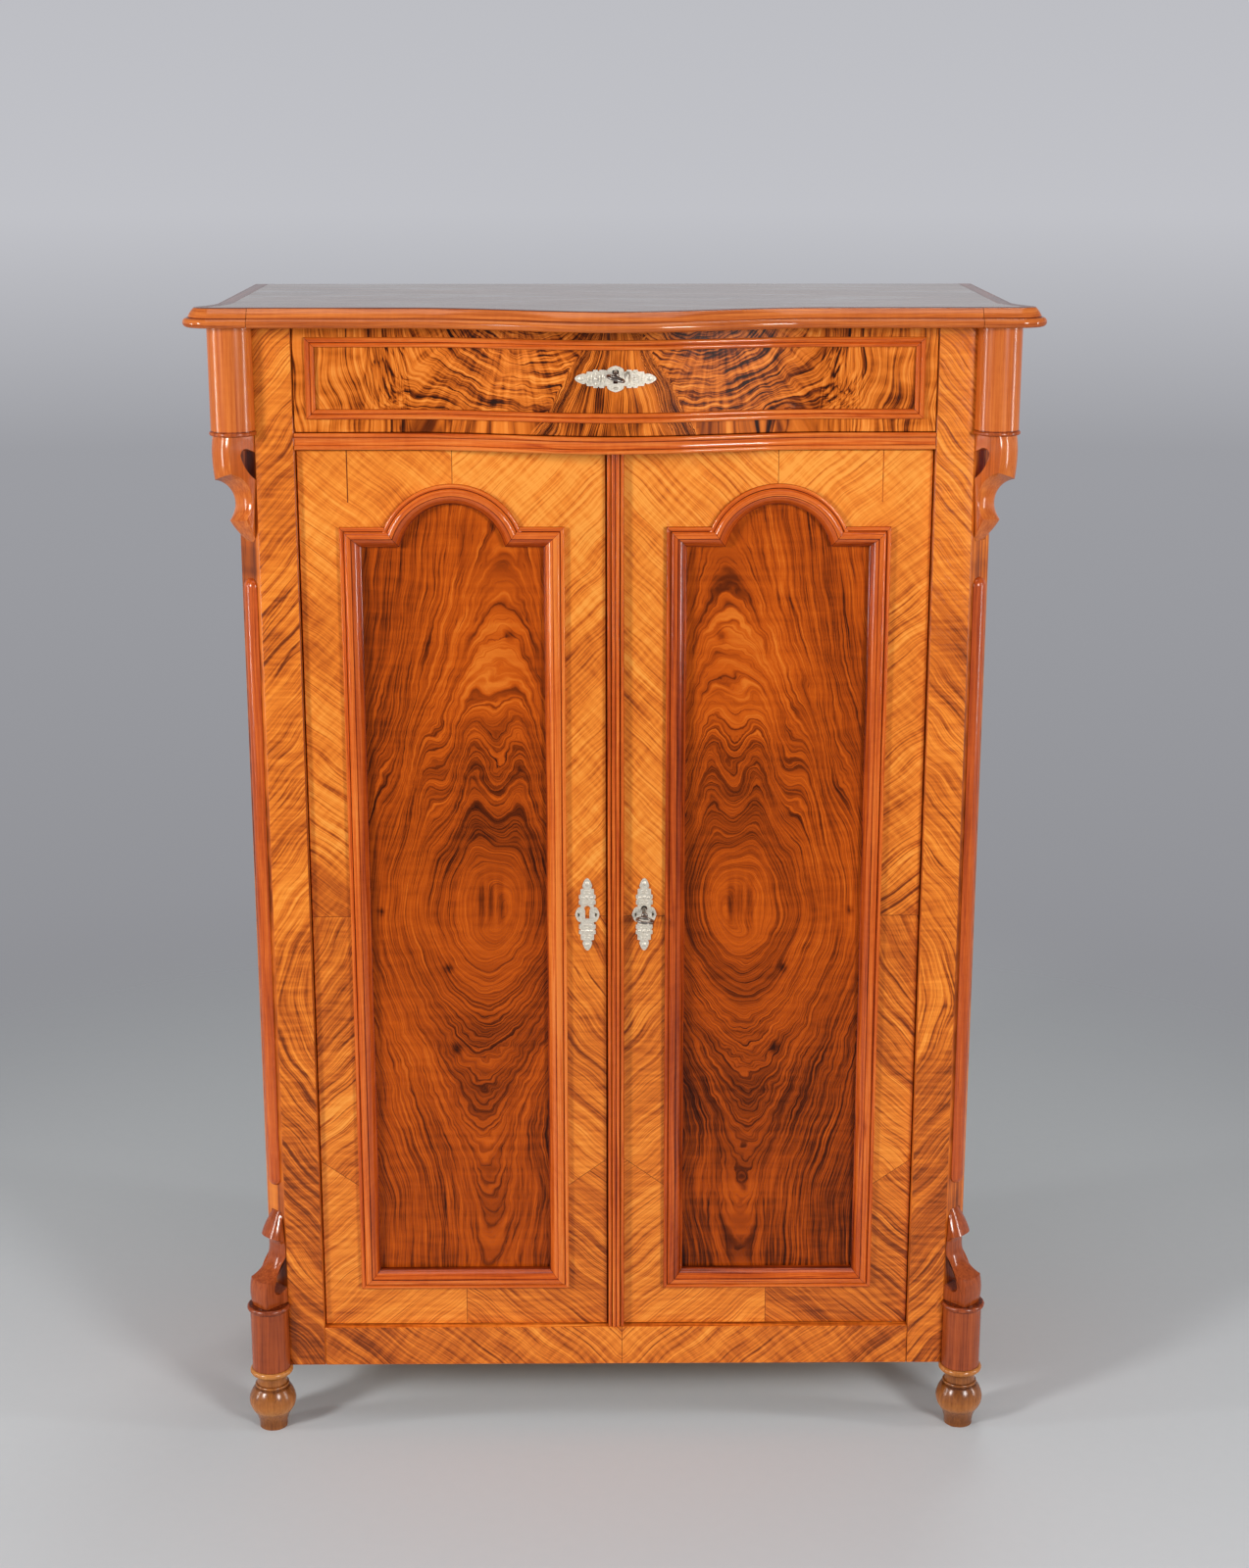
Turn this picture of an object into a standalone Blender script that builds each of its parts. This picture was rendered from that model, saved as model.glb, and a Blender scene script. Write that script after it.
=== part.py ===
"""Walnut vertiko: a two-door cabinet with a serpentine drawer, turned corner columns and a moulded top.

Units are metres, +Z is up and the front faces -Y. The origin is on the floor, under the middle of the top.
Left and right are as seen from the front.
"""

import math

import bmesh
import bpy
from mathutils import Matrix, Vector

# Carcase
CABINET_HEIGHT = 1.470
OPENING_WIDTH = 0.770  # between the corner posts
CARCASE_DEPTH = 0.372  # front of the corner posts to the back edge of the sides
CARCASE_BOTTOM = 0.0865  # height of the carcase above the floor
POST_FACE = 0.046  # flat front of a corner post
POST_CHAMFER = 0.026  # leg of the bevelled corner that carries the columns
POST_DEPTH = 0.055
SIDE_THICKNESS = 0.020
BACK_THICKNESS = 0.014
BOTTOM_RAIL_HEIGHT = 0.0538
BOTTOM_RAIL_THICKNESS = 0.022
BOTTOM_BOARD_THICKNESS = 0.019
DUST_BOARD_THICKNESS = 0.0175
SHELF_THICKNESS = 0.018
SHELF_HEIGHTS = (0.505, 0.885)  # undersides of the two shelves
SHELF_HOUSING = 0.008  # depth of the grooves that hold the shelves
SEAT_GAP = 0.0003  # glue line between fixed pieces
ARRIS = 0.0008  # eased edge of a board
QUIRK = 0.0006  # small step beside a bead

# Top
TOP_THICKNESS = 0.0225
TOP_FRONT_OVERHANG = 0.045
TOP_SIDE_OVERHANG = 0.032
TOP_BACK_OVERHANG = 0.012
TOP_SWELL = 0.062  # how far the middle of the front edge swells forward
TOP_EAR = 0.0207  # how far the front corners stand out past the sides
EAR_RADIUS = 0.035
EAR_HOLLOW_RADIUS = 0.070  # hollow that leads from a corner back to the side
EDGING_WIDTH = 0.030
EDGING_BEAD_RADIUS = 0.0055
EDGING_SLOPE = 0.0075  # how far the face above the bead leans back

# Serpentine front
SWELL_HALF_WIDTH = 0.250
SWELL_STEPS = 20

# Drawer
DRAWER_FRONT_HEIGHT = 0.125
DRAWER_FRONT_THICKNESS = 0.024
DRAWER_SWELL = 0.042
DRAWER_SETBACK = 0.002
DRAWER_GAP = 0.001  # running gap above, below and beside the drawer
DRAWER_SIDE_THICKNESS = 0.012
DRAWER_SIDE_HEIGHT = 0.108
DRAWER_BACK_SPACE = 0.020  # free space behind the closed drawer
DRAWER_BOTTOM_THICKNESS = 0.007
DRAWER_BOTTOM_LIFT = 0.005  # from the drawer's lower edge to its bottom panel
DRAWER_GROOVE = 0.005
DRAWER_BACK_DROP = 0.008  # how much lower the drawer's back is than its sides
GUIDE_HEIGHT = 0.030
DRAWER_MOULDING_END_MARGIN = 0.0148
DRAWER_MOULDING_TOP_MARGIN = 0.0125
DRAWER_MOULDING_BOTTOM_MARGIN = 0.0155
DRAWER_MOULDING_WIDTH = 0.012
DRAWER_MOULDING_LIFT = 0.0022  # flat part of the moulding under its two beads
RAIL_HEIGHT = 0.0205  # moulded rail under the drawer
RAIL_DEPTH = 0.040
RAIL_BEAD_RADIUS = 0.0028

# Doors
DOOR_SETBACK = 0.009
DOOR_THICKNESS = 0.024
DOOR_GAP = 0.0015
DOOR_OUTER_MARGIN = 0.0490  # door edge to the outside of the panel moulding
DOOR_MEETING_MARGIN = 0.0515  # closing strip to the outside of the panel moulding
DOOR_BOTTOM_MARGIN = 0.0535
DOOR_SHOULDER_MARGIN = 0.0925
ARCH_RADIUS = 0.0899  # outside of the moulding
ARCH_RISE = 0.0525
ARCH_STEPS = 14
MOULDING_WIDTH = 0.025
MOULDING_SEAT = 0.0135  # part of the moulding's width that lies on the door frame
MOULDING_HEIGHT = 0.011
PANEL_RECESS = 0.008
PANEL_THICKNESS = 0.012
PANEL_HOUSING = 0.008
STRIP_WIDTH = 0.021
STRIP_THICKNESS = 0.012

# Pivot hinges
HINGE_INSET = 0.020  # door edge to the hinge axis
HINGE_DEPTH = 0.007  # door face to the hinge axis
PIVOT_RADIUS = 0.0025
PIVOT_COLLAR_RADIUS = 0.005
PIVOT_SEAT = 0.012  # length held by the carcase
PIVOT_REACH = 0.020  # length inside the door
PIVOT_PLAY = 0.00009

# Corner columns, brackets and half-round strips, measured outwards from the bevelled corner
UPPER_COLUMN_RADIUS = 0.0267
LOWER_COLUMN_RADIUS = 0.0250
COLUMN_AXIS = 0.0182
RING_RADIUS = 0.0288
UPPER_RING_HEIGHT = 0.0052
LOWER_RING_HEIGHT = 0.0075
UPPER_COLUMN_HEIGHT = 0.1285  # with its ring
LOWER_COLUMN_HEIGHT = 0.0915  # with its ring
BRACKET_WIDTH = 0.034
BRACKET_REACH = 0.036
BRACKET_BULGE = 0.0015  # how far the face of a bracket's block bulges out and draws in again
BRACKET_WAIST_REACH = 0.0055
BRACKET_LIP_REACH = 0.0140
BRACKET_NOTCH_RADIUS = 0.008
BRACKET_NOTCH_REACH = 0.0135
BRACKET_NOTCH_TOP = 0.0155
BRACKET_LEAN = 0.0105  # how much lower the outer edge of an upper bracket's block hangs
UPPER_BRACKET_HEIGHTS = (0.0437, 0.0540, 0.0825, 0.1015, 0.1310)  # block, notch, waist, lip and tip
LOWER_BRACKET_HEIGHTS = (0.0372, 0.0655, 0.0770, 0.0925, 0.1262)
BRACKET_TIP_TAPER = 0.45  # share of its width that a bracket loses between its lip and its tip
BRACKET_ARRIS = 0.0012
STRIP_ROUND_WIDTH = 0.022
STRIP_ROUND_DEPTH = 0.008
STRIP_UPPER_SPACE = 0.045  # bare corner between the upper bracket and the half-round strip
STRIP_LOWER_SPACE = 0.0364
TURNING_STEPS = 24

# Feet
FOOT_DISC_RADIUS = 0.0275
FOOT_NECK_RADIUS = 0.0155
FOOT_BULB_RADIUS = 0.0307
FOOT_SOLE_RADIUS = 0.0185
REAR_FOOT_SIZE = 0.050
REAR_FOOT_TAPER = 0.008

# Locks, keys and bolts
PLATE_LENGTH = 0.096
PLATE_WIDTH = 0.031
PLATE_THICKNESS = 0.0016
PLATE_EYE_RISE = 0.008  # plate centre up to the centre of the keyhole's eye
KEYHOLE_RADIUS = 0.0038
KEYHOLE_SLOT = 0.0054
KEYHOLE_DROP = 0.0135
DOOR_PLATE_DROP = 0.00865  # middle of a door down to the middle of its keyhole plate
DOOR_PLATE_X = 0.036
DRAWER_PLATE_RISE = 0.005  # middle of the drawer front up to the middle of its keyhole plate
KEY_RADIUS = 0.0025
KEY_STEM = 0.030  # plate to the key's bow
KEY_BOW_WIDTH = 0.023
KEY_BOW_LENGTH = 0.018
KEY_BOW_RADIUS = 0.0018
KEY_BIT_REACH = 0.0095
KEY_BIT_LENGTH = 0.0055
KEY_BIT_THICKNESS = 0.002
KEY_BIT_SETBACK = 0.001  # end of the stem to the bit
KEY_END_SPACE = 0.0012  # end of the stem to the lock plate
KEY_SAG = math.radians(6.0)
DOOR_KEY_ROLL = math.radians(-8.0)
DRAWER_KEY_ROLL = math.radians(-17.0)
LOCK_POCKET_DEPTH = 0.0140
LOCK_PLATE_THICKNESS = 0.002
LOCK_WIDTH = 0.068  # meeting edge to the far side of the door lock
LOCK_HEIGHT = 0.070
LOCK_RISE = 0.006  # how far the middle of the door lock is above the key
LOCK_BIT_SPACE = 0.0015  # bolt to the circle that the key's bit turns in
DRAWER_LOCK_WIDTH = 0.060
DRAWER_LOCK_HEIGHT = 0.064
LOCK_BOLT_HEIGHT = 0.012
LOCK_BOLT_THICKNESS = 0.007
LOCK_BOLT_LENGTH = 0.046
DRAWER_BOLT_WIDTH = 0.018
LOCK_BOLT_THROW = 0.008
BOLT_PLAY = 0.0006
FLUSH_BOLT_LENGTH = 0.110
FLUSH_BOLT_WIDTH = 0.010
FLUSH_BOLT_THICKNESS = 0.006
FLUSH_BOLT_THROW = 0.011
FLUSH_BOLT_ARRIS = 0.0005
FLUSH_KNOB_RADIUS = 0.004
FLUSH_KNOB_HEIGHT = 0.007
FLUSH_KNOB_ROOT = 0.001  # how far the knob is let into its bolt

# Places worked out from the dimensions above
POST_INNER_X = OPENING_WIDTH / 2
POST_OUTER_X = POST_INNER_X + POST_FACE
SIDE_X = POST_OUTER_X + POST_CHAMFER
SIDE_INNER_X = SIDE_X - SIDE_THICKNESS
FRONT_Y = (TOP_FRONT_OVERHANG + TOP_SWELL - CARCASE_DEPTH - TOP_BACK_OVERHANG) / 2
POST_BACK_Y = FRONT_Y + POST_DEPTH
BACK_Y = FRONT_Y + CARCASE_DEPTH
INSIDE_BACK_Y = BACK_Y - BACK_THICKNESS
TOP_BACK_Y = BACK_Y + TOP_BACK_OVERHANG
TOP_FRONT_Y = FRONT_Y - TOP_FRONT_OVERHANG
TOP_SIDE_X = SIDE_X + TOP_SIDE_OVERHANG
TOP_BOTTOM_Z = CABINET_HEIGHT - TOP_THICKNESS
CARCASE_TOP_Z = TOP_BOTTOM_Z - SEAT_GAP
DRAWER_TOP_Z = TOP_BOTTOM_Z - DRAWER_GAP
DRAWER_BOTTOM_Z = DRAWER_TOP_Z - DRAWER_FRONT_HEIGHT
DRAWER_FRONT_Y = FRONT_Y + DRAWER_SETBACK
DRAWER_HALF_WIDTH = POST_INNER_X - DRAWER_GAP
DRAWER_BACK_Y = INSIDE_BACK_Y - DRAWER_BACK_SPACE
RAIL_TOP_Z = DRAWER_BOTTOM_Z - DRAWER_GAP
RAIL_BOTTOM_Z = RAIL_TOP_Z - RAIL_HEIGHT
RAIL_HALF_WIDTH = POST_INNER_X - SEAT_GAP
BOTTOM_RAIL_TOP_Z = CARCASE_BOTTOM + BOTTOM_RAIL_HEIGHT
DOOR_TOP_Z = RAIL_BOTTOM_Z - DOOR_GAP
DOOR_BOTTOM_Z = BOTTOM_RAIL_TOP_Z + DOOR_GAP
DOOR_FRONT_Y = FRONT_Y + DOOR_SETBACK
DOOR_BACK_Y = DOOR_FRONT_Y + DOOR_THICKNESS
DOOR_OUTER_X = POST_INNER_X - DOOR_GAP
STRIP_EDGE_X = STRIP_WIDTH / 2
LEFT_MEETING_X = -STRIP_EDGE_X - DOOR_GAP
HINGE_X = DOOR_OUTER_X - HINGE_INSET
HINGE_Y = DOOR_FRONT_Y + HINGE_DEPTH
CHAMFER_X = POST_OUTER_X + POST_CHAMFER / 2
CHAMFER_Y = FRONT_Y + POST_CHAMFER / 2
UPPER_RING_Z = CARCASE_TOP_Z - UPPER_COLUMN_HEIGHT
LOWER_RING_Z = CARCASE_BOTTOM + LOWER_COLUMN_HEIGHT
DOOR_PLATE_Z = (DOOR_BOTTOM_Z + DOOR_TOP_Z) / 2 - DOOR_PLATE_DROP
DRAWER_PLATE_Z = (DRAWER_BOTTOM_Z + DRAWER_TOP_Z) / 2 + DRAWER_PLATE_RISE
DOOR_KEY_Z = DOOR_PLATE_Z + PLATE_EYE_RISE
DRAWER_KEY_Z = DRAWER_PLATE_Z + PLATE_EYE_RISE
DRAWER_CROWN_Y = DRAWER_FRONT_Y - DRAWER_SWELL

UPRIGHT = Matrix.Rotation(math.pi / 2, 4, "X")  # stands a flat drawing up, facing the front


def remove_all_objects():
    for obj in list(bpy.data.objects):
        bpy.data.objects.remove(obj, do_unlink=True)


def new_collection(name):
    collection = bpy.data.collections.new(name)
    bpy.context.scene.collection.children.link(collection)
    return collection


remove_all_objects()
CABINET = new_collection("vertiko_cabinet")
CUTTERS = new_collection("cutters")


def new_material(name, colour, roughness, metallic=0.0):
    material = bpy.data.materials.new(name)
    material.use_nodes = True
    shader = material.node_tree.nodes["Principled BSDF"]
    shader.inputs["Base Color"].default_value = (*colour, 1.0)
    shader.inputs["Roughness"].default_value = roughness
    shader.inputs["Metallic"].default_value = metallic
    return material


VENEER = new_material("diagonal_walnut_veneer", (0.60, 0.23, 0.05), 0.25)
FIGURED = new_material("figured_walnut_veneer", (0.34, 0.11, 0.03), 0.22)
MOULDING = new_material("walnut_moulding", (0.36, 0.10, 0.03), 0.22)
TOP_WOOD = new_material("walnut_top", (0.30, 0.13, 0.06), 0.35)
TURNED_WOOD = new_material("turned_walnut", (0.33, 0.12, 0.04), 0.24)
SIDE_WOOD = new_material("walnut_sides", (0.45, 0.17, 0.05), 0.30)
PINE = new_material("pine", (0.62, 0.42, 0.22), 0.60)
NICKEL = new_material("nickel_silver", (0.66, 0.62, 0.54), 0.30, 1.0)
STEEL = new_material("dark_steel", (0.16, 0.15, 0.14), 0.35, 1.0)


# Drawing helpers


def arc(centre, radius, start, end, steps):
    """Points on a circle from one angle to another, in degrees."""
    angles = [math.radians(start + (end - start) * i / steps) for i in range(steps + 1)]
    return [(centre[0] + radius * math.cos(a), centre[1] + radius * math.sin(a)) for a in angles]


def arc_through(a, b, c, steps):
    """Points on the circle that runs from a through b to c."""
    (ax, ay), (bx, by), (cx, cy) = a, b, c
    turn = 2 * (ax * (by - cy) + bx * (cy - ay) + cx * (ay - by))
    a2, b2, c2 = ax * ax + ay * ay, bx * bx + by * by, cx * cx + cy * cy
    centre_x = (a2 * (by - cy) + b2 * (cy - ay) + c2 * (ay - by)) / turn
    centre_y = (a2 * (cx - bx) + b2 * (ax - cx) + c2 * (bx - ax)) / turn
    start = math.atan2(ay - centre_y, ax - centre_x)
    end = math.atan2(cy - centre_y, cx - centre_x)
    if turn > 0 and end < start:
        end += 2 * math.pi
    if turn < 0 and end > start:
        end -= 2 * math.pi
    radius = math.hypot(ax - centre_x, ay - centre_y)
    return arc((centre_x, centre_y), radius, math.degrees(start), math.degrees(end), steps)


def rectangle(low, high):
    return [low, (high[0], low[1]), high, (low[0], high[1])]


def mirrored(points):
    """The same outline on the other side of the middle, running the same way round."""
    return [(-x, y) for x, y in reversed(points)]


def offset_path(points, distance):
    """A path beside another one, to its left, with mitred corners."""
    moved = []
    for i, (x, y) in enumerate(points):
        normals = []
        for a, b in ((i - 1, i), (i, i + 1)):
            if a >= 0 and b < len(points):
                run = Vector(points[b]) - Vector(points[a])
                normals.append(Vector((-run.y, run.x)).normalized())
        bisector = sum(normals, Vector((0, 0))).normalized()
        shift = bisector * (distance / bisector.dot(normals[0]))
        moved.append((x + shift.x, y + shift.y))
    return moved


def swell_stations(half_width):
    """Places across the front where the serpentine curve has its facets."""
    middle = [SWELL_HALF_WIDTH * (2 * i / SWELL_STEPS - 1) for i in range(SWELL_STEPS + 1)]
    return [-half_width] + [x for x in middle if abs(x) < half_width] + [half_width]


def swell(x):
    """Share of the full swell at x: one in the middle, easing away to the straight ends."""
    if abs(x) >= SWELL_HALF_WIDTH:
        return 0.0
    return (1 + math.cos(math.pi * x / SWELL_HALF_WIDTH)) / 2


def facet_swell(x):
    """The swell on the facets between the stations."""
    step = 2 * SWELL_HALF_WIDTH / SWELL_STEPS
    low = step * math.floor(x / step)
    share = (x - low) / step
    return swell(low) * (1 - share) + swell(low + step) * share


def front_line(half_width, y, depth):
    """Plan of a serpentine front from left to right."""
    return [(x, y - depth * swell(x)) for x in swell_stations(half_width)]


# Modelling helpers


def shade_smooth(mesh):
    mesh.shade_smooth()
    mesh.set_sharp_from_angle(angle=math.radians(32))


def add_object(name, data, material, matrix):
    obj = bpy.data.objects.new(name, data)
    obj.matrix_world = matrix
    if material:
        data.materials.append(material)
    CABINET.objects.link(obj)
    return obj


def ease_edges(obj, width, segments=1):
    bevel = obj.modifiers.new("eased_edges", "BEVEL")
    bevel.width = width
    bevel.segments = segments
    bevel.limit_method = "ANGLE"
    bevel.angle_limit = math.radians(40)


def board(name, low, high, material, arris=ARRIS):
    """A rectangular board between two opposite corners."""
    low = Vector(low)
    high = Vector(high)
    mesh = bpy.data.meshes.new(name)
    shape = bmesh.new()
    bmesh.ops.create_cube(shape, size=1.0, matrix=Matrix.Diagonal((*(high - low), 1.0)))
    shape.to_mesh(mesh)
    shape.free()
    obj = add_object(name, mesh, material, Matrix.Translation((low + high) / 2))
    if arris:
        ease_edges(obj, arris)
    return obj


def flat_curve(name, outlines, closed=True):
    curve = bpy.data.curves.new(name, "CURVE")
    curve.dimensions = "2D"
    for outline in outlines:
        spline = curve.splines.new("POLY")
        spline.points.add(len(outline) - 1)
        for point, (x, y) in zip(spline.points, outline):
            point.co = (x, y, 0.0, 1.0)
        spline.use_cyclic_u = closed
    return curve


def curve_to_mesh(name, curve, material, matrix):
    """Turns a curve into a closed mesh object in the same place."""
    drawn = add_object(name + "_curve", curve, None, matrix)
    evaluated = drawn.evaluated_get(bpy.context.evaluated_depsgraph_get())
    mesh = bpy.data.meshes.new_from_object(evaluated)
    bpy.data.objects.remove(drawn, do_unlink=True)
    bpy.data.curves.remove(curve)
    shape = bmesh.new()
    shape.from_mesh(mesh)
    bmesh.ops.remove_doubles(shape, verts=shape.verts, dist=0.00001)
    bmesh.ops.recalc_face_normals(shape, faces=shape.faces)
    shape.to_mesh(mesh)
    shape.free()
    mesh.name = name
    shade_smooth(mesh)
    return add_object(name, mesh, material, matrix)


def extruded_face(name, outline, depth, material, matrix):
    mesh = bpy.data.meshes.new(name)
    shape = bmesh.new()
    face = shape.faces.new([shape.verts.new((x, y, -depth / 2)) for x, y in outline])
    raised = bmesh.ops.extrude_face_region(shape, geom=[face])["geom"]
    for vertex in raised:
        if isinstance(vertex, bmesh.types.BMVert):
            vertex.co.z = depth / 2
    bmesh.ops.recalc_face_normals(shape, faces=shape.faces)
    shape.to_mesh(mesh)
    shape.free()
    shade_smooth(mesh)
    return add_object(name, mesh, material, matrix)


def prism(name, outlines, depth, material, matrix, arris=ARRIS):
    """A flat outline, with any inner outlines as holes, given a thickness about its own plane."""
    if len(outlines) == 1:
        obj = extruded_face(name, outlines[0], depth, material, matrix)
    else:
        curve = flat_curve(name, outlines)
        curve.fill_mode = "BOTH"
        curve.extrude = depth / 2
        obj = curve_to_mesh(name, curve, material, matrix)
    if arris:
        ease_edges(obj, arris)
    return obj


def plan_prism(name, outlines, low_z, high_z, material, arris=ARRIS):
    place = Matrix.Translation((0, 0, (low_z + high_z) / 2))
    return prism(name, outlines, high_z - low_z, material, place, arris)


def front_prism(name, outlines, front_y, back_y, material, arris=ARRIS):
    place = Matrix.Translation((0, (front_y + back_y) / 2, 0)) @ UPRIGHT
    return prism(name, outlines, back_y - front_y, material, place, arris)


def sweep(name, path, profile, material, matrix, closed=False):
    """A moulding: a profile carried along a flat path with true mitres.

    The profile's x is measured to the left of the path, and its y upwards. An open path takes its
    profile the other way round from a closed one.
    """
    if not closed:
        profile = [(-x, y) for x, y in profile]
    section = bpy.data.objects.new(name + "_section", flat_curve(name + "_section", [profile]))
    CUTTERS.objects.link(section)
    curve = flat_curve(name, [path], closed)
    curve.fill_mode = "NONE"
    curve.bevel_mode = "OBJECT"
    curve.bevel_object = section
    curve.use_fill_caps = not closed
    obj = curve_to_mesh(name, curve, material, matrix)
    bpy.data.objects.remove(section, do_unlink=True)
    return obj


def turned(name, profile, material, matrix, steps=TURNING_STEPS):
    """A shape turned about its own Z axis, from a profile of radius and height that runs downwards."""
    mesh = bpy.data.meshes.new(name)
    edges = [(i, i + 1) for i in range(len(profile) - 1)]
    mesh.from_pydata([(radius, 0.0, height) for radius, height in profile], edges, [])
    obj = add_object(name, mesh, material, matrix)
    screw = obj.modifiers.new("turning", "SCREW")
    screw.steps = steps
    screw.render_steps = steps
    screw.use_merge_vertices = True
    screw.merge_threshold = 0.00001
    screw.use_smooth_shade = True
    return obj


def join(obj, tool, operation):
    """Cuts a hidden tool from an object, or joins it on."""
    tool.hide_render = True
    tool.display_type = "WIRE"
    if tool.name not in CUTTERS.objects:
        CABINET.objects.unlink(tool)
        CUTTERS.objects.link(tool)
    boolean = obj.modifiers.new(tool.name, "BOOLEAN")
    boolean.operation = operation
    boolean.object = tool


def cut_box(obj, low, high, matrix=Matrix()):
    tool = board(obj.name + "_cut", low, high, None, arris=0)
    tool.matrix_world = matrix @ tool.matrix_world
    join(obj, tool, "DIFFERENCE")


def cut_round(obj, centre, radius, length, axis="Z", sides=16):
    """A round hole of the given length about its centre."""
    mesh = bpy.data.meshes.new(obj.name + "_hole")
    shape = bmesh.new()
    bmesh.ops.create_cone(
        shape, cap_ends=True, segments=sides, radius1=radius, radius2=radius, depth=length
    )
    shape.to_mesh(mesh)
    shape.free()
    turn = UPRIGHT if axis == "Y" else Matrix()
    tool = add_object(mesh.name, mesh, None, Matrix.Translation(centre) @ turn)
    join(obj, tool, "DIFFERENCE")


def bend_to_drawer_front(obj):
    """Slices a flat piece at the front's stations and pushes it out over the drawer's swell."""
    mesh = obj.data
    mesh.transform(obj.matrix_world)
    obj.matrix_world = Matrix()
    shape = bmesh.new()
    shape.from_mesh(mesh)
    for x in swell_stations(DRAWER_HALF_WIDTH):
        everything = shape.verts[:] + shape.edges[:] + shape.faces[:]
        bmesh.ops.bisect_plane(
            shape, geom=everything, dist=0.000001, plane_co=(x, 0, 0), plane_no=(1, 0, 0)
        )
    for vertex in shape.verts:
        vertex.co.y -= DRAWER_SWELL * facet_swell(vertex.co.x)
    shape.to_mesh(mesh)
    shape.free()
    shade_smooth(mesh)


def joint_empty(name, place):
    empty = bpy.data.objects.new(name, None)
    empty.matrix_world = Matrix.Translation(place)
    empty.empty_display_size = 0.05
    CABINET.objects.link(empty)
    return empty


def carry(empty, pieces):
    """Parents pieces to the empty on their joint's axis, leaving them where they are."""
    for piece in pieces:
        piece.parent = empty
        piece.matrix_parent_inverse = empty.matrix_basis.inverted()


# Carcase


def build_posts():
    outline = [
        (POST_INNER_X, FRONT_Y),
        (POST_OUTER_X, FRONT_Y),
        (SIDE_X, FRONT_Y + POST_CHAMFER),
        (SIDE_X, POST_BACK_Y),
        (POST_INNER_X, POST_BACK_Y),
    ]
    plan_prism("right_corner_post", [outline], CARCASE_BOTTOM, CARCASE_TOP_Z, VENEER)
    plan_prism("left_corner_post", [mirrored(outline)], CARCASE_BOTTOM, CARCASE_TOP_Z, VENEER)


def build_sides():
    outline = [
        (SIDE_INNER_X, CARCASE_TOP_Z),
        (SIDE_X, CARCASE_TOP_Z),
        (SIDE_X, CARCASE_BOTTOM),
        (SIDE_INNER_X, CARCASE_BOTTOM),
    ]
    for underside in SHELF_HEIGHTS:
        low = underside - SEAT_GAP
        high = underside + SHELF_THICKNESS + SEAT_GAP
        housing_x = SIDE_INNER_X + SHELF_HOUSING
        outline += [(SIDE_INNER_X, low), (housing_x, low), (housing_x, high), (SIDE_INNER_X, high)]
    front = POST_BACK_Y + SEAT_GAP
    front_prism("right_side_panel", [outline], front, BACK_Y, SIDE_WOOD, arris=0)
    front_prism("left_side_panel", [mirrored(outline)], front, BACK_Y, SIDE_WOOD, arris=0)


def build_back():
    half = SIDE_INNER_X - SEAT_GAP
    board("back_panel", (-half, INSIDE_BACK_Y, CARCASE_BOTTOM), (half, BACK_Y, CARCASE_TOP_Z), PINE)


def between_posts(front_edge):
    """Plan of a full-width board that is notched round the corner posts."""
    notch_y = POST_BACK_Y + SEAT_GAP
    half = SIDE_INNER_X - SEAT_GAP
    back = INSIDE_BACK_Y - SEAT_GAP
    right = [(RAIL_HALF_WIDTH, notch_y), (half, notch_y), (half, back)]
    return front_edge + right + mirrored(right)


def build_bottom():
    rail_back = FRONT_Y + BOTTOM_RAIL_THICKNESS
    board(
        "bottom_rail",
        (-RAIL_HALF_WIDTH, FRONT_Y, CARCASE_BOTTOM),
        (RAIL_HALF_WIDTH, rail_back, BOTTOM_RAIL_TOP_Z),
        VENEER,
    )
    front = rail_back + SEAT_GAP
    outline = between_posts([(-RAIL_HALF_WIDTH, front), (RAIL_HALF_WIDTH, front)])
    low = BOTTOM_RAIL_TOP_Z - BOTTOM_BOARD_THICKNESS
    plan_prism("bottom_board", [outline], low, BOTTOM_RAIL_TOP_Z, PINE, arris=0)


def drawer_rail_profile():
    """Section of the moulded rail: bead, hollow and lower bead in front of a plain bar."""
    top_bead = arc((0.0, RAIL_HEIGHT - RAIL_BEAD_RADIUS), RAIL_BEAD_RADIUS, 90, 270, 4)
    low_bead = arc((0.0, RAIL_BEAD_RADIUS), RAIL_BEAD_RADIUS, 90, 270, 4)
    hollow_top = RAIL_HEIGHT - 2 * RAIL_BEAD_RADIUS
    hollow_low = 2 * RAIL_BEAD_RADIUS
    hollow = arc_through(
        (-RAIL_BEAD_RADIUS / 2, hollow_top),
        (0.0, (hollow_top + 2 * hollow_low) / 3),
        (-RAIL_BEAD_RADIUS / 2, hollow_low),
        3,
    )
    return [(RAIL_DEPTH, RAIL_HEIGHT)] + top_bead + hollow + low_bead + [(RAIL_DEPTH, 0.0)]


def build_drawer_floor():
    path = front_line(RAIL_HALF_WIDTH, DRAWER_FRONT_Y, DRAWER_SWELL)
    place = Matrix.Translation((0, 0, RAIL_BOTTOM_Z))
    sweep("drawer_rail", path, drawer_rail_profile(), MOULDING, place)
    front = offset_path(path, RAIL_DEPTH + SEAT_GAP)
    low = RAIL_TOP_Z - DUST_BOARD_THICKNESS
    plan_prism("dust_board", [between_posts(front)], low, RAIL_TOP_Z, PINE, arris=0)
    for word, side in (("left", -1), ("right", 1)):
        inner = side * (POST_INNER_X + SEAT_GAP)
        outer = side * (SIDE_INNER_X - SEAT_GAP)
        board(
            word + "_drawer_guide",
            (min(inner, outer), POST_BACK_Y + SEAT_GAP, RAIL_TOP_Z + SEAT_GAP),
            (max(inner, outer), INSIDE_BACK_Y - SEAT_GAP, RAIL_TOP_Z + GUIDE_HEIGHT),
            PINE,
            arris=0,
        )


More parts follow.
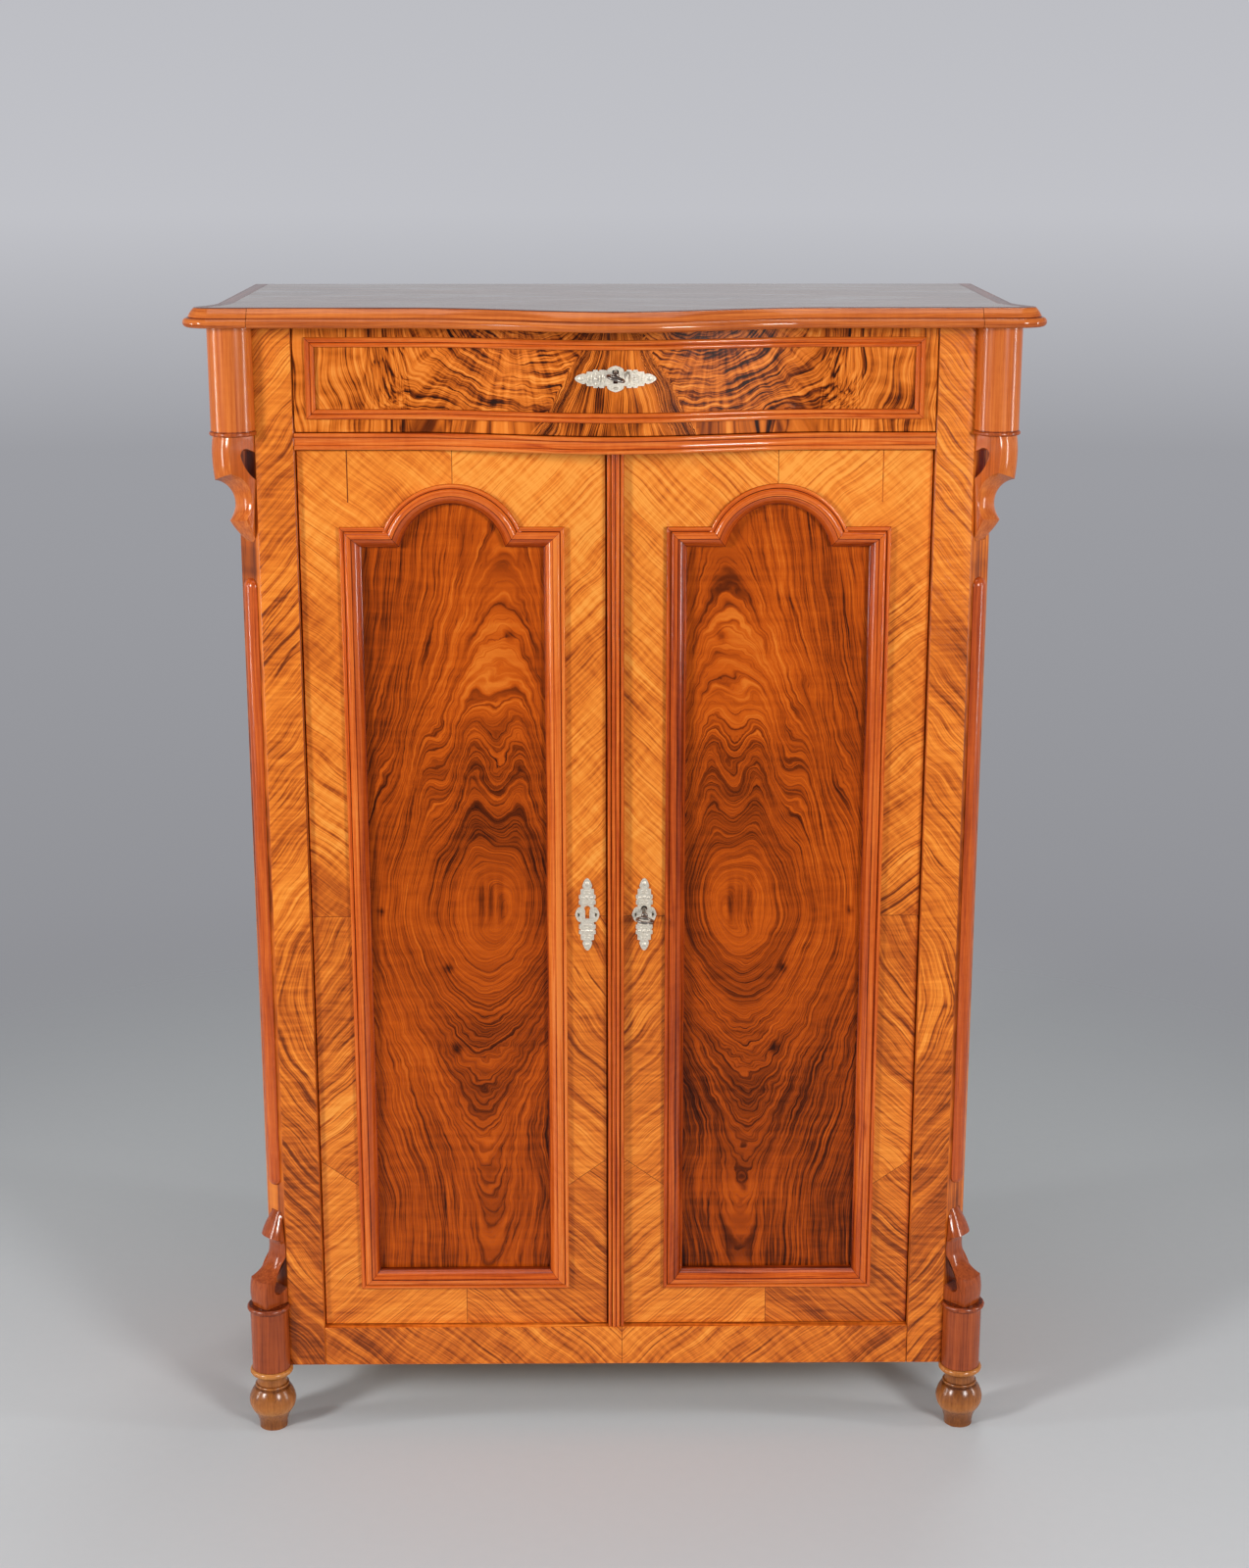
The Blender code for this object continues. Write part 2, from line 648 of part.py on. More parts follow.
def build_shelves():
    half = SIDE_INNER_X + SHELF_HOUSING - SEAT_GAP
    front = POST_BACK_Y + SEAT_GAP
    back = INSIDE_BACK_Y - SEAT_GAP
    for name, underside in zip(("lower_shelf", "upper_shelf"), SHELF_HEIGHTS):
        board(name, (-half, front, underside), (half, back, underside + SHELF_THICKNESS), PINE)


# Top


def ear_path():
    """Plan of the top's edge from the front seam round the right-hand corner to the back."""
    reach = EAR_RADIUS + EAR_HOLLOW_RADIUS
    turn = math.degrees(math.acos(1 - TOP_EAR / reach))
    middle = (TOP_SIDE_X + TOP_EAR - EAR_RADIUS, TOP_FRONT_Y + EAR_RADIUS)
    hollow_x = middle[0] + reach * math.cos(math.radians(turn))
    hollow_y = middle[1] + reach * math.sin(math.radians(turn))
    corner = arc(middle, EAR_RADIUS, -90, turn, 12)
    hollow = arc((hollow_x, hollow_y), EAR_HOLLOW_RADIUS, 180 + turn, 180, 4)
    seam = [(POST_OUTER_X + SEAT_GAP, TOP_FRONT_Y)]
    return seam + corner + hollow[1:] + [(TOP_SIDE_X, TOP_BACK_Y)]


def edging_profile():
    """Section of the top's edging, with the bead's nose on the path."""
    bead = arc((EDGING_BEAD_RADIUS, EDGING_BEAD_RADIUS), EDGING_BEAD_RADIUS, 270, 90, 6)
    quirk_z = 2 * EDGING_BEAD_RADIUS
    rim = EDGING_BEAD_RADIUS + EDGING_SLOPE
    hollow = arc_through(
        (EDGING_BEAD_RADIUS + QUIRK, quirk_z + QUIRK / 2),
        (EDGING_BEAD_RADIUS + 0.45 * EDGING_SLOPE, (quirk_z + TOP_THICKNESS) / 2),
        (rim, TOP_THICKNESS - ARRIS),
        3,
    )
    top = [(rim + ARRIS, TOP_THICKNESS), (EDGING_WIDTH, TOP_THICKNESS), (EDGING_WIDTH, 0.0)]
    return bead + hollow + top


def build_top():
    right = ear_path()
    left = mirrored(right)
    front = front_line(POST_OUTER_X - SEAT_GAP, TOP_FRONT_Y, TOP_SWELL)
    place = Matrix.Translation((0, 0, TOP_BOTTOM_Z))
    for name, path in (("left", left), ("front", front), ("right", right)):
        sweep("top_" + name + "_edging", path, edging_profile(), MOULDING, place)
    outline = offset_path(left[:-1] + front[1:-1] + right[1:], EDGING_WIDTH + SEAT_GAP)
    panel = plan_prism("top_panel", [outline], TOP_BOTTOM_Z, CABINET_HEIGHT, TOP_WOOD, arris=0)
    keeper_y = drawer_bolt_y()
    half_width = DRAWER_BOLT_WIDTH / 2 + BOLT_PLAY
    half_depth = LOCK_BOLT_THICKNESS / 2 + BOLT_PLAY
    cut_box(
        panel,
        (-half_width, keeper_y - half_depth, TOP_BOTTOM_Z - SEAT_GAP),
        (half_width, keeper_y + half_depth, TOP_BOTTOM_Z + LOCK_BOLT_THROW + BOLT_PLAY),
    )


# Corner columns, brackets, half-round strips and feet


def corner_frame(side):
    """Place on the bevelled corner at floor level, with X pointing out of it."""
    turn = Matrix.Rotation(math.radians(-90 + 45 * side), 4, "Z")
    return Matrix.Translation((side * CHAMFER_X, CHAMFER_Y, 0)) @ turn


def seat_on_corner(obj, side, low, high):
    """Cuts away what would lie inside the bevelled corner."""
    reach = 2 * RING_RADIUS
    cut_box(obj, (-reach, -reach, low), (SEAT_GAP, reach, high), corner_frame(side))


def ring_profile(radius, top, height):
    """A rounded ring that stands out from a column."""
    low = top - height
    return arc_through((radius, top), (RING_RADIUS, (top + low) / 2), (radius, low), 4)


def build_columns(word, side):
    axis = corner_frame(side) @ Matrix.Translation((COLUMN_AXIS, 0, 0))
    profile = [(0.0, CARCASE_TOP_Z), (UPPER_COLUMN_RADIUS, CARCASE_TOP_Z)]
    profile += ring_profile(UPPER_COLUMN_RADIUS, UPPER_RING_Z + UPPER_RING_HEIGHT, UPPER_RING_HEIGHT)
    profile += [(0.0, UPPER_RING_Z)]
    upper = turned(word + "_upper_column", profile, MOULDING, axis)
    seat_on_corner(upper, side, UPPER_RING_Z - SEAT_GAP, CARCASE_TOP_Z + SEAT_GAP)
    profile = [(0.0, LOWER_RING_Z)] + ring_profile(LOWER_COLUMN_RADIUS, LOWER_RING_Z, LOWER_RING_HEIGHT)
    profile += [(LOWER_COLUMN_RADIUS, CARCASE_BOTTOM), (0.0, CARCASE_BOTTOM)]
    lower = turned(word + "_lower_column", profile, MOULDING, axis)
    seat_on_corner(lower, side, CARCASE_BOTTOM - SEAT_GAP, LOWER_RING_Z + SEAT_GAP)


def bracket_outline(heights):
    """Side of a scroll bracket: reach from the corner, and height from the ring that it meets."""
    block, notch, waist, lip, tip = heights
    belly = (BRACKET_REACH + BRACKET_BULGE, block / 2)
    shoulder = (BRACKET_REACH - BRACKET_BULGE, block)
    scoop = (2.1 * BRACKET_WAIST_REACH, 0.4 * block + 0.6 * waist)
    narrow = (BRACKET_WAIST_REACH, waist)
    throat_middle = (1.3 * BRACKET_WAIST_REACH, 0.45 * waist + 0.55 * lip)
    cusp = (BRACKET_LIP_REACH, lip)
    nose = (0.62 * BRACKET_LIP_REACH, 0.55 * lip + 0.45 * tip)
    eye = (BRACKET_NOTCH_REACH, BRACKET_NOTCH_TOP + BRACKET_NOTCH_RADIUS)
    notch_side = (eye[0] + BRACKET_NOTCH_RADIUS, eye[1])
    face = arc_through((BRACKET_REACH - BRACKET_BULGE / 2, SEAT_GAP), belly, shoulder, 4)
    hollow = arc_through(shoulder, scoop, narrow, 7)
    throat = arc_through(narrow, throat_middle, cusp, 3)
    end = arc_through(cusp, nose, (SEAT_GAP, tip), 4)
    drop = arc_through((SEAT_GAP, notch), (0.65 * notch_side[0], 0.55 * notch + 0.45 * eye[1]), notch_side, 4)
    crown = arc(eye, BRACKET_NOTCH_RADIUS, 0, -120, 5)
    back = [(SEAT_GAP, BRACKET_NOTCH_TOP + 0.7 * BRACKET_NOTCH_RADIUS), (SEAT_GAP, SEAT_GAP)]
    return face + hollow[1:] + throat[1:] + end[1:] + drop + crown[1:] + back


def taper_tip(obj, heights):
    """Narrows a bracket from its lip to its tip."""
    lip, tip = heights[-2:]
    for vertex in obj.data.vertices:
        share = max(0.0, (abs(vertex.co.y) - lip) / (tip - lip))
        vertex.co.z *= 1 - BRACKET_TIP_TAPER * share**2


def lean(obj, side, heights):
    """Lets the outer edge of a bracket's block and scroll hang lower than the inner edge."""
    block, tip = heights[0], heights[-1]
    for vertex in obj.data.vertices:
        height = -vertex.co.y
        if height < block:
            share = max(0.0, 2 * height / block - 1)
        else:
            share = (tip - height) / (tip - block)
        vertex.co.y -= BRACKET_LEAN * share * (0.5 - side * vertex.co.z / BRACKET_WIDTH)


def build_brackets(word, side):
    for level, heights, ring_z, way in (
        ("upper", UPPER_BRACKET_HEIGHTS, UPPER_RING_Z, -1),
        ("lower", LOWER_BRACKET_HEIGHTS, LOWER_RING_Z, 1),
    ):
        outline = [(reach, way * height) for reach, height in bracket_outline(heights)]
        place = corner_frame(side) @ Matrix.Translation((0, 0, ring_z)) @ UPRIGHT
        name = word + "_" + level + "_bracket"
        bracket = prism(name, [outline], BRACKET_WIDTH, MOULDING, place, BRACKET_ARRIS)
        taper_tip(bracket, heights)
        if level == "upper":
            lean(bracket, side, heights)


def build_round_strip(word, side):
    """Half-round strip on the bevelled corner, with rounded ends."""
    high = UPPER_RING_Z - UPPER_BRACKET_HEIGHTS[-1] - STRIP_UPPER_SPACE
    low = LOWER_RING_Z + LOWER_BRACKET_HEIGHTS[-1] + STRIP_LOWER_SPACE
    radius = STRIP_ROUND_WIDTH / 2
    top_end = arc((0.0, high - radius), radius, 90, 0, 5)
    low_end = arc((0.0, low + radius), radius, 0, -90, 5)
    flatten = Matrix.Diagonal((STRIP_ROUND_DEPTH / radius, 1.0, 1.0, 1.0))
    place = corner_frame(side) @ flatten
    strip = turned(word + "_round_strip", top_end + low_end, MOULDING, place, steps=14)
    seat_on_corner(strip, side, low - SEAT_GAP, high + SEAT_GAP)


def front_foot_profile():
    """Turned foot from its top disc down to the floor, in shares of its height."""
    top = CARCASE_BOTTOM - SEAT_GAP
    disc_low = 0.83 * top
    fillet = (1.25 * FOOT_NECK_RADIUS, 0.66 * top)
    bulb = (FOOT_BULB_RADIUS, 0.48 * top)
    cup = (1.13 * FOOT_SOLE_RADIUS, 0.21 * top)
    disc_edge = (FOOT_DISC_RADIUS, (top + disc_low) / 2)
    disc = arc_through((0.93 * FOOT_DISC_RADIUS, top), disc_edge, (0.91 * FOOT_DISC_RADIUS, disc_low), 4)
    neck = arc_through((1.13 * FOOT_NECK_RADIUS, disc_low), (FOOT_NECK_RADIUS, 0.74 * top), fillet, 4)
    upper = arc_through((1.19 * FOOT_NECK_RADIUS, 0.63 * top), (0.92 * FOOT_BULB_RADIUS, 0.57 * top), bulb, 4)
    lower = arc_through(bulb, (0.90 * FOOT_BULB_RADIUS, 0.335 * top), cup, 4)
    sole = [(1.10 * FOOT_SOLE_RADIUS, 0.19 * top), (FOOT_SOLE_RADIUS, 0.0)]
    return [(0.0, top)] + disc + neck + upper + lower[1:] + sole + [(0.0, 0.0)]


def build_feet(word, side):
    axis = corner_frame(side) @ Matrix.Translation((COLUMN_AXIS, 0, 0))
    turned(word + "_front_foot", front_foot_profile(), TURNED_WOOD, axis)
    top = CARCASE_BOTTOM - SEAT_GAP
    half = REAR_FOOT_SIZE / 2
    centre = Vector((side * (SIDE_X - half), BACK_Y - half, top / 2))
    foot = board(
        word + "_rear_foot",
        centre - Vector((half, half, top / 2)),
        centre + Vector((half, half, top / 2)),
        PINE,
    )
    for vertex in foot.data.vertices:
        if vertex.co.z < 0:
            vertex.co.x *= 1 - REAR_FOOT_TAPER / half
            vertex.co.y *= 1 - REAR_FOOT_TAPER / half


# Keyhole plates, keys and lock bolts


def plate_outline():
    """Keyhole plate: a quarter drawn from its side lobe to its tip, then mirrored both ways."""
    length = PLATE_LENGTH / 2
    half = PLATE_WIDTH / 2
    quarter = arc_through((half, 0.0), (0.90 * half, 0.11 * length), (0.68 * half, 0.19 * length), 3)
    quarter += [(0.66 * half, 0.22 * length), (0.58 * half, 0.25 * length), (0.58 * half, 0.36 * length)]
    quarter += [(0.66 * half, 0.38 * length), (0.66 * half, 0.48 * length), (0.58 * half, 0.50 * length)]
    quarter += [(0.47 * half, 0.71 * length), (0.25 * half, 0.72 * length), (0.25 * half, 0.74 * length)]
    quarter += [(0.42 * half, 0.76 * length)]
    quarter += arc_through((0.41 * half, 0.80 * length), (0.29 * half, 0.90 * length), (0.0, length), 3)
    upper = quarter + mirrored(quarter)[1:]
    return upper + [(-x, -y) for x, y in upper[1:-1]]


def keyhole_outline(eye_rise):
    """Round eye over a slot that narrows the way a key's bit does."""
    half = KEYHOLE_SLOT / 2
    spread = math.degrees(math.asin(half / KEYHOLE_RADIUS))
    eye = arc((0.0, eye_rise), KEYHOLE_RADIUS, spread - 90, 270 - spread, 10)
    return eye + [(-half, eye_rise - KEYHOLE_DROP), (half, eye_rise - KEYHOLE_DROP)]


def keyhole_plate(name, centre, lying=False):
    outline = plate_outline()
    if lying:
        outline = [(y, -x) for x, y in outline]
    place = Matrix.Translation(centre) @ UPRIGHT
    outlines = [outline, keyhole_outline(PLATE_EYE_RISE)]
    return prism(name, outlines, PLATE_THICKNESS, NICKEL, place, arris=0)


def key_place(eye, roll):
    """Place of a key in its lock: Z along the stem towards the front, sagging a little."""
    sag = Matrix.Rotation(math.pi / 2 + KEY_SAG, 4, "X")
    return Matrix.Translation(eye) @ sag @ Matrix.Rotation(roll, 4, "Z")


def build_key(name, eye, roll, inner_length):
    """A key whose origin is where its stem leaves the plate."""
    place = key_place(eye, roll)
    collar = arc_through(
        (KEY_RADIUS, 0.82 * KEY_STEM),
        (1.7 * KEY_RADIUS, 0.75 * KEY_STEM),
        (KEY_RADIUS, 0.68 * KEY_STEM),
        4,
    )
    profile = [(0.0, KEY_STEM), (KEY_RADIUS, KEY_STEM)] + collar
    profile += [(KEY_RADIUS, -inner_length), (0.0, -inner_length)]
    key = turned(name, profile, STEEL, place, steps=12)
    bow_z = KEY_STEM + KEY_BOW_LENGTH / 2 - KEY_BOW_RADIUS
    major = KEY_BOW_WIDTH / 2 - KEY_BOW_RADIUS
    squeeze = (KEY_BOW_LENGTH / 2 - KEY_BOW_RADIUS) / major
    bpy.ops.mesh.primitive_torus_add(
        major_radius=major, minor_radius=KEY_BOW_RADIUS, major_segments=20, minor_segments=6
    )
    bow = bpy.context.object
    bow.name = name + "_bow"
    for collection in list(bow.users_collection):
        collection.objects.unlink(bow)
    CUTTERS.objects.link(bow)
    bow_place = place @ Matrix.Translation((0, 0, bow_z)) @ UPRIGHT
    bow.matrix_world = bow_place @ Matrix.Diagonal((1, squeeze, 1, 1))
    join(key, bow, "UNION")
    half = KEY_BIT_THICKNESS / 2
    bit_low = -inner_length + KEY_BIT_SETBACK
    bit = board(
        name + "_bit", (0.0, -half, bit_low), (KEY_BIT_REACH, half, bit_low + KEY_BIT_LENGTH), None, arris=0
    )
    bit.matrix_world = place @ bit.matrix_world
    join(key, bit, "UNION")
    return key


# Drawer


def drawer_bolt_y():
    """Middle of the drawer lock's bolt, inside the pocket in the back of the drawer front."""
    back = DRAWER_CROWN_Y + DRAWER_FRONT_THICKNESS
    return back - LOCK_PLATE_THICKNESS - (LOCK_POCKET_DEPTH - LOCK_PLATE_THICKNESS) / 2


def build_drawer_box():
    face = front_line(DRAWER_HALF_WIDTH, DRAWER_FRONT_Y, DRAWER_SWELL)
    inside = [(x, y + DRAWER_FRONT_THICKNESS) for x, y in face]
    front = plan_prism("drawer_front", [face + inside[::-1]], DRAWER_BOTTOM_Z, DRAWER_TOP_Z, FIGURED)
    side_front = DRAWER_FRONT_Y + DRAWER_FRONT_THICKNESS + SEAT_GAP
    inner_x = DRAWER_HALF_WIDTH - DRAWER_SIDE_THICKNESS
    groove_x = inner_x + DRAWER_GROOVE
    floor_z = DRAWER_BOTTOM_Z + DRAWER_BOTTOM_LIFT
    floor_top = floor_z + DRAWER_BOTTOM_THICKNESS
    side_top = DRAWER_BOTTOM_Z + DRAWER_SIDE_HEIGHT
    outline = [
        (inner_x, side_top),
        (inner_x, floor_top + SEAT_GAP),
        (groove_x, floor_top + SEAT_GAP),
        (groove_x, floor_z - SEAT_GAP),
        (inner_x, floor_z - SEAT_GAP),
        (inner_x, DRAWER_BOTTOM_Z),
        (DRAWER_HALF_WIDTH, DRAWER_BOTTOM_Z),
        (DRAWER_HALF_WIDTH, side_top),
    ]
    right = front_prism("drawer_right_side", [outline], side_front, DRAWER_BACK_Y, PINE, arris=0)
    left = front_prism("drawer_left_side", [mirrored(outline)], side_front, DRAWER_BACK_Y, PINE, arris=0)
    half = inner_x - SEAT_GAP
    back = board(
        "drawer_back",
        (-half, DRAWER_BACK_Y - DRAWER_SIDE_THICKNESS, floor_top + SEAT_GAP),
        (half, DRAWER_BACK_Y, side_top - DRAWER_BACK_DROP),
        PINE,
        arris=0,
    )
    floor_half = groove_x - SEAT_GAP
    floor_line = front_line(floor_half, side_front, DRAWER_SWELL)
    floor_outline = floor_line + [(floor_half, DRAWER_BACK_Y), (-floor_half, DRAWER_BACK_Y)]
    floor = plan_prism("drawer_bottom", [floor_outline], floor_z, floor_top, PINE, arris=0)
    return front, [left, right, back, floor]


def build_drawer_moulding():
    """Two small beads round the drawer front, mitred at the corners."""
    half = DRAWER_HALF_WIDTH - DRAWER_MOULDING_END_MARGIN
    low = (-half, DRAWER_BOTTOM_Z + DRAWER_MOULDING_BOTTOM_MARGIN)
    high = (half, DRAWER_TOP_Z - DRAWER_MOULDING_TOP_MARGIN)
    quarter = DRAWER_MOULDING_WIDTH / 4
    lift = DRAWER_MOULDING_LIFT
    outer = arc((quarter, lift), quarter, 180, 0, 4)
    inner = arc((3 * quarter, lift), 0.9 * quarter, 180, 0, 4)
    profile = [(0.0, 0.0)] + outer + inner + [(DRAWER_MOULDING_WIDTH, 0.0)]
    place = Matrix.Translation((0, DRAWER_FRONT_Y - SEAT_GAP, 0)) @ UPRIGHT
    ring = sweep("drawer_moulding", rectangle(low, high), profile, MOULDING, place, closed=True)
    bend_to_drawer_front(ring)
    return ring


def build_drawer_lock(front):
    back = DRAWER_CROWN_Y + DRAWER_FRONT_THICKNESS
    pocket = back - LOCK_POCKET_DEPTH
    half = DRAWER_LOCK_WIDTH / 2
    low = DRAWER_TOP_Z - DRAWER_LOCK_HEIGHT
    over = DRAWER_SWELL
    cut_box(front, (-half, pocket, low), (half, back + over, DRAWER_TOP_Z + SEAT_GAP))
    hole_front = DRAWER_CROWN_Y - SEAT_GAP
    outline = keyhole_outline(DRAWER_KEY_Z)
    keyhole = front_prism("drawer_keyhole", [outline], hole_front, pocket + SEAT_GAP, None, 0)
    join(front, keyhole, "DIFFERENCE")
    plate_front = back - LOCK_PLATE_THICKNESS
    top = DRAWER_TOP_Z - SEAT_GAP
    section = [
        (pocket + SEAT_GAP, top),
        (pocket + SEAT_GAP, top - LOCK_PLATE_THICKNESS),
        (plate_front, top - LOCK_PLATE_THICKNESS),
        (plate_front, low + SEAT_GAP),
        (back, low + SEAT_GAP),
        (back, top),
    ]
    sideways = Matrix.Rotation(math.pi / 2, 4, "Z") @ UPRIGHT
    plate = prism("drawer_lock_plate", [section], DRAWER_LOCK_WIDTH - 2 * SEAT_GAP, STEEL, sideways, arris=0)
    middle = drawer_bolt_y()
    half_width = DRAWER_BOLT_WIDTH / 2
    half_depth = LOCK_BOLT_THICKNESS / 2
    cut_box(
        plate,
        (-half_width - SEAT_GAP, middle - half_depth - SEAT_GAP, top - 2 * LOCK_PLATE_THICKNESS),
        (half_width + SEAT_GAP, middle + half_depth + SEAT_GAP, top + SEAT_GAP),
    )
    bolt_low = DRAWER_KEY_Z + KEY_BIT_REACH + LOCK_BIT_SPACE
    bolt = board(
        "drawer_lock_bolt",
        (-half_width, middle - half_depth, bolt_low),
        (half_width, middle + half_depth, top),
        STEEL,
        arris=0,
    )
    return plate, bolt


def build_drawer():
    front, box = build_drawer_box()
    moulding = build_drawer_moulding()
    lock_plate, bolt = build_drawer_lock(front)
    plate_y = DRAWER_FRONT_Y - SEAT_GAP - PLATE_THICKNESS / 2
    plate = keyhole_plate("drawer_keyhole_plate", (0, plate_y, DRAWER_PLATE_Z), lying=True)
    bend_to_drawer_front(plate)
    eye = Vector((0, DRAWER_CROWN_Y - SEAT_GAP - PLATE_THICKNESS, DRAWER_KEY_Z))
    inner = PLATE_THICKNESS + DRAWER_FRONT_THICKNESS - LOCK_PLATE_THICKNESS - KEY_END_SPACE
    key = build_key("drawer_key", eye, DRAWER_KEY_ROLL, inner)
    slide = joint_empty("drawer_slide", (0, DRAWER_FRONT_Y, DRAWER_BOTTOM_Z))
    carry(slide, [front, moulding, plate, lock_plate] + box)
    carry(joint_empty("drawer_bolt_throw", (0, drawer_bolt_y(), DRAWER_KEY_Z)), [bolt])
    carry(joint_empty("drawer_key_turn", eye), [key])


# Doors


def opening_path(side):
    """Arched opening in a door frame, anticlockwise as seen from the front."""
    inner = STRIP_EDGE_X + DOOR_MEETING_MARGIN + MOULDING_SEAT
    outer = DOOR_OUTER_X - DOOR_OUTER_MARGIN - MOULDING_SEAT
    sill = DOOR_BOTTOM_Z + DOOR_BOTTOM_MARGIN + MOULDING_SEAT
    shoulder = DOOR_TOP_Z - DOOR_SHOULDER_MARGIN - MOULDING_SEAT
    radius = ARCH_RADIUS - MOULDING_SEAT
    centre = ((inner + outer) / 2, shoulder + MOULDING_SEAT + ARCH_RISE - ARCH_RADIUS)
    spring = math.degrees(math.asin((shoulder - centre[1]) / radius))
    arch = arc(centre, radius, spring, 180 - spring, ARCH_STEPS)
    path = [(inner, sill), (outer, sill), (outer, shoulder)] + arch + [(inner, shoulder)]
    return path if side > 0 else mirrored(path)


def door_moulding_profile():
    """Section of the panel moulding: a bead on the frame, then an ogee that dips to the panel."""
    outer = -MOULDING_SEAT
    inner = MOULDING_WIDTH - MOULDING_SEAT
    bead_radius = 0.10 * MOULDING_WIDTH
    bead = arc((outer + bead_radius, 0.45 * MOULDING_HEIGHT), bead_radius, 180, 0, 5)
    ridge = (outer + 0.42 * MOULDING_WIDTH, MOULDING_HEIGHT)
    rise = arc_through(
        (outer + 2 * bead_radius + QUIRK, 0.45 * MOULDING_HEIGHT),
        (outer + 0.29 * MOULDING_WIDTH, 0.86 * MOULDING_HEIGHT),
        ridge,
        4,
    )
    dip = arc_through(ridge, (0.48 * inner, 0.60 * MOULDING_HEIGHT), (0.88 * inner, 0.0), 4)
    foot = [(inner, -0.15 * PANEL_RECESS), (inner, SEAT_GAP - PANEL_RECESS)]
    rebate = [(SEAT_GAP, SEAT_GAP - PANEL_RECESS), (SEAT_GAP, SEAT_GAP), (outer, SEAT_GAP)]
    return bead + rise + dip[1:] + foot + rebate


def build_door_leaf(word, side):
    """Frame, panel and moulding of one door."""
    low_x, high_x = (-DOOR_OUTER_X, LEFT_MEETING_X) if side < 0 else (-STRIP_EDGE_X, DOOR_OUTER_X)
    opening = opening_path(side)
    frame = board(
        word + "_door_frame",
        (low_x, DOOR_FRONT_Y, DOOR_BOTTOM_Z),
        (high_x, DOOR_BACK_Y, DOOR_TOP_Z),
        VENEER,
    )
    through = (DOOR_FRONT_Y - DOOR_GAP, DOOR_BACK_Y + DOOR_GAP)
    join(frame, front_prism(word + "_door_opening", [opening], *through, None, 0), "DIFFERENCE")
    panel_low_x = min(x for x, z in opening) - PANEL_HOUSING
    panel_high_x = max(x for x, z in opening) + PANEL_HOUSING
    panel_low_z = min(z for x, z in opening) - PANEL_HOUSING
    panel_high_z = max(z for x, z in opening) + PANEL_HOUSING
    panel_y = DOOR_FRONT_Y + PANEL_RECESS
    cut_box(
        frame,
        (panel_low_x, panel_y - SEAT_GAP, panel_low_z),
        (panel_high_x, DOOR_BACK_Y + SEAT_GAP, panel_high_z),
    )
    panel = board(
        word + "_door_panel",
        (panel_low_x + SEAT_GAP, panel_y, panel_low_z + SEAT_GAP),
        (panel_high_x - SEAT_GAP, panel_y + PANEL_THICKNESS, panel_high_z - SEAT_GAP),
        FIGURED,
        arris=0,
    )
    for end_z in (DOOR_BOTTOM_Z, DOOR_TOP_Z):
        cut_round(frame, (side * HINGE_X, HINGE_Y, end_z), PIVOT_RADIUS + PIVOT_PLAY, 2 * PIVOT_REACH)
    place = Matrix.Translation((0, DOOR_FRONT_Y, 0)) @ UPRIGHT
    moulding = sweep(
        word + "_door_moulding", opening, door_moulding_profile(), MOULDING, place, closed=True
    )
    return frame, [panel, moulding]


def build_pivots(word, side):
    """Hinge pins held in the rails, each with a collar that keeps the door clear."""
    for level, rail_name, rail_z, way in (
        ("top", "drawer_rail", RAIL_BOTTOM_Z, -1),
        ("bottom", "bottom_rail", BOTTOM_RAIL_TOP_Z, 1),
    ):
        collar_low = SEAT_GAP
        collar_high = DOOR_GAP - SEAT_GAP
        profile = [(0.0, PIVOT_REACH), (PIVOT_RADIUS, PIVOT_REACH), (PIVOT_RADIUS, collar_high)]
        profile += [(PIVOT_COLLAR_RADIUS, collar_high), (PIVOT_COLLAR_RADIUS, collar_low)]
        profile += [(PIVOT_RADIUS, collar_low), (PIVOT_RADIUS, -PIVOT_SEAT), (0.0, -PIVOT_SEAT)]
        turn = Matrix() if way > 0 else Matrix.Rotation(math.pi, 4, "X")
        place = (side * HINGE_X, HINGE_Y, rail_z)
        turned(word + "_" + level + "_pivot", profile, STEEL, Matrix.Translation(place) @ turn, steps=16)
        rail = bpy.data.objects[rail_name]
        cut_round(rail, place, PIVOT_RADIUS + SEAT_GAP, 2 * (PIVOT_SEAT + SEAT_GAP))


def strip_outline():
    """Plan of the closing strip: two reeds beside a middle groove, with sloping sides."""
    half = STRIP_EDGE_X
    reed_radius = 0.125 * STRIP_WIDTH
    reed_x = 0.20 * STRIP_WIDTH
    reed_base = STRIP_THICKNESS - reed_radius
    slope = arc_through(
        (half, 0.45 * STRIP_THICKNESS),
        (0.86 * half, 0.66 * STRIP_THICKNESS),
        (reed_x + 1.2 * reed_radius, reed_base - QUIRK),
        4,
    )
    reed = arc((reed_x, reed_base), reed_radius, 0, 180, 8)
    right = slope + reed + [(reed_x - reed_radius, reed_base - QUIRK)]
    section = [(half, SEAT_GAP)] + right + mirrored(right) + [(-half, SEAT_GAP)]
    return [(x, DOOR_FRONT_Y - height) for x, height in section]


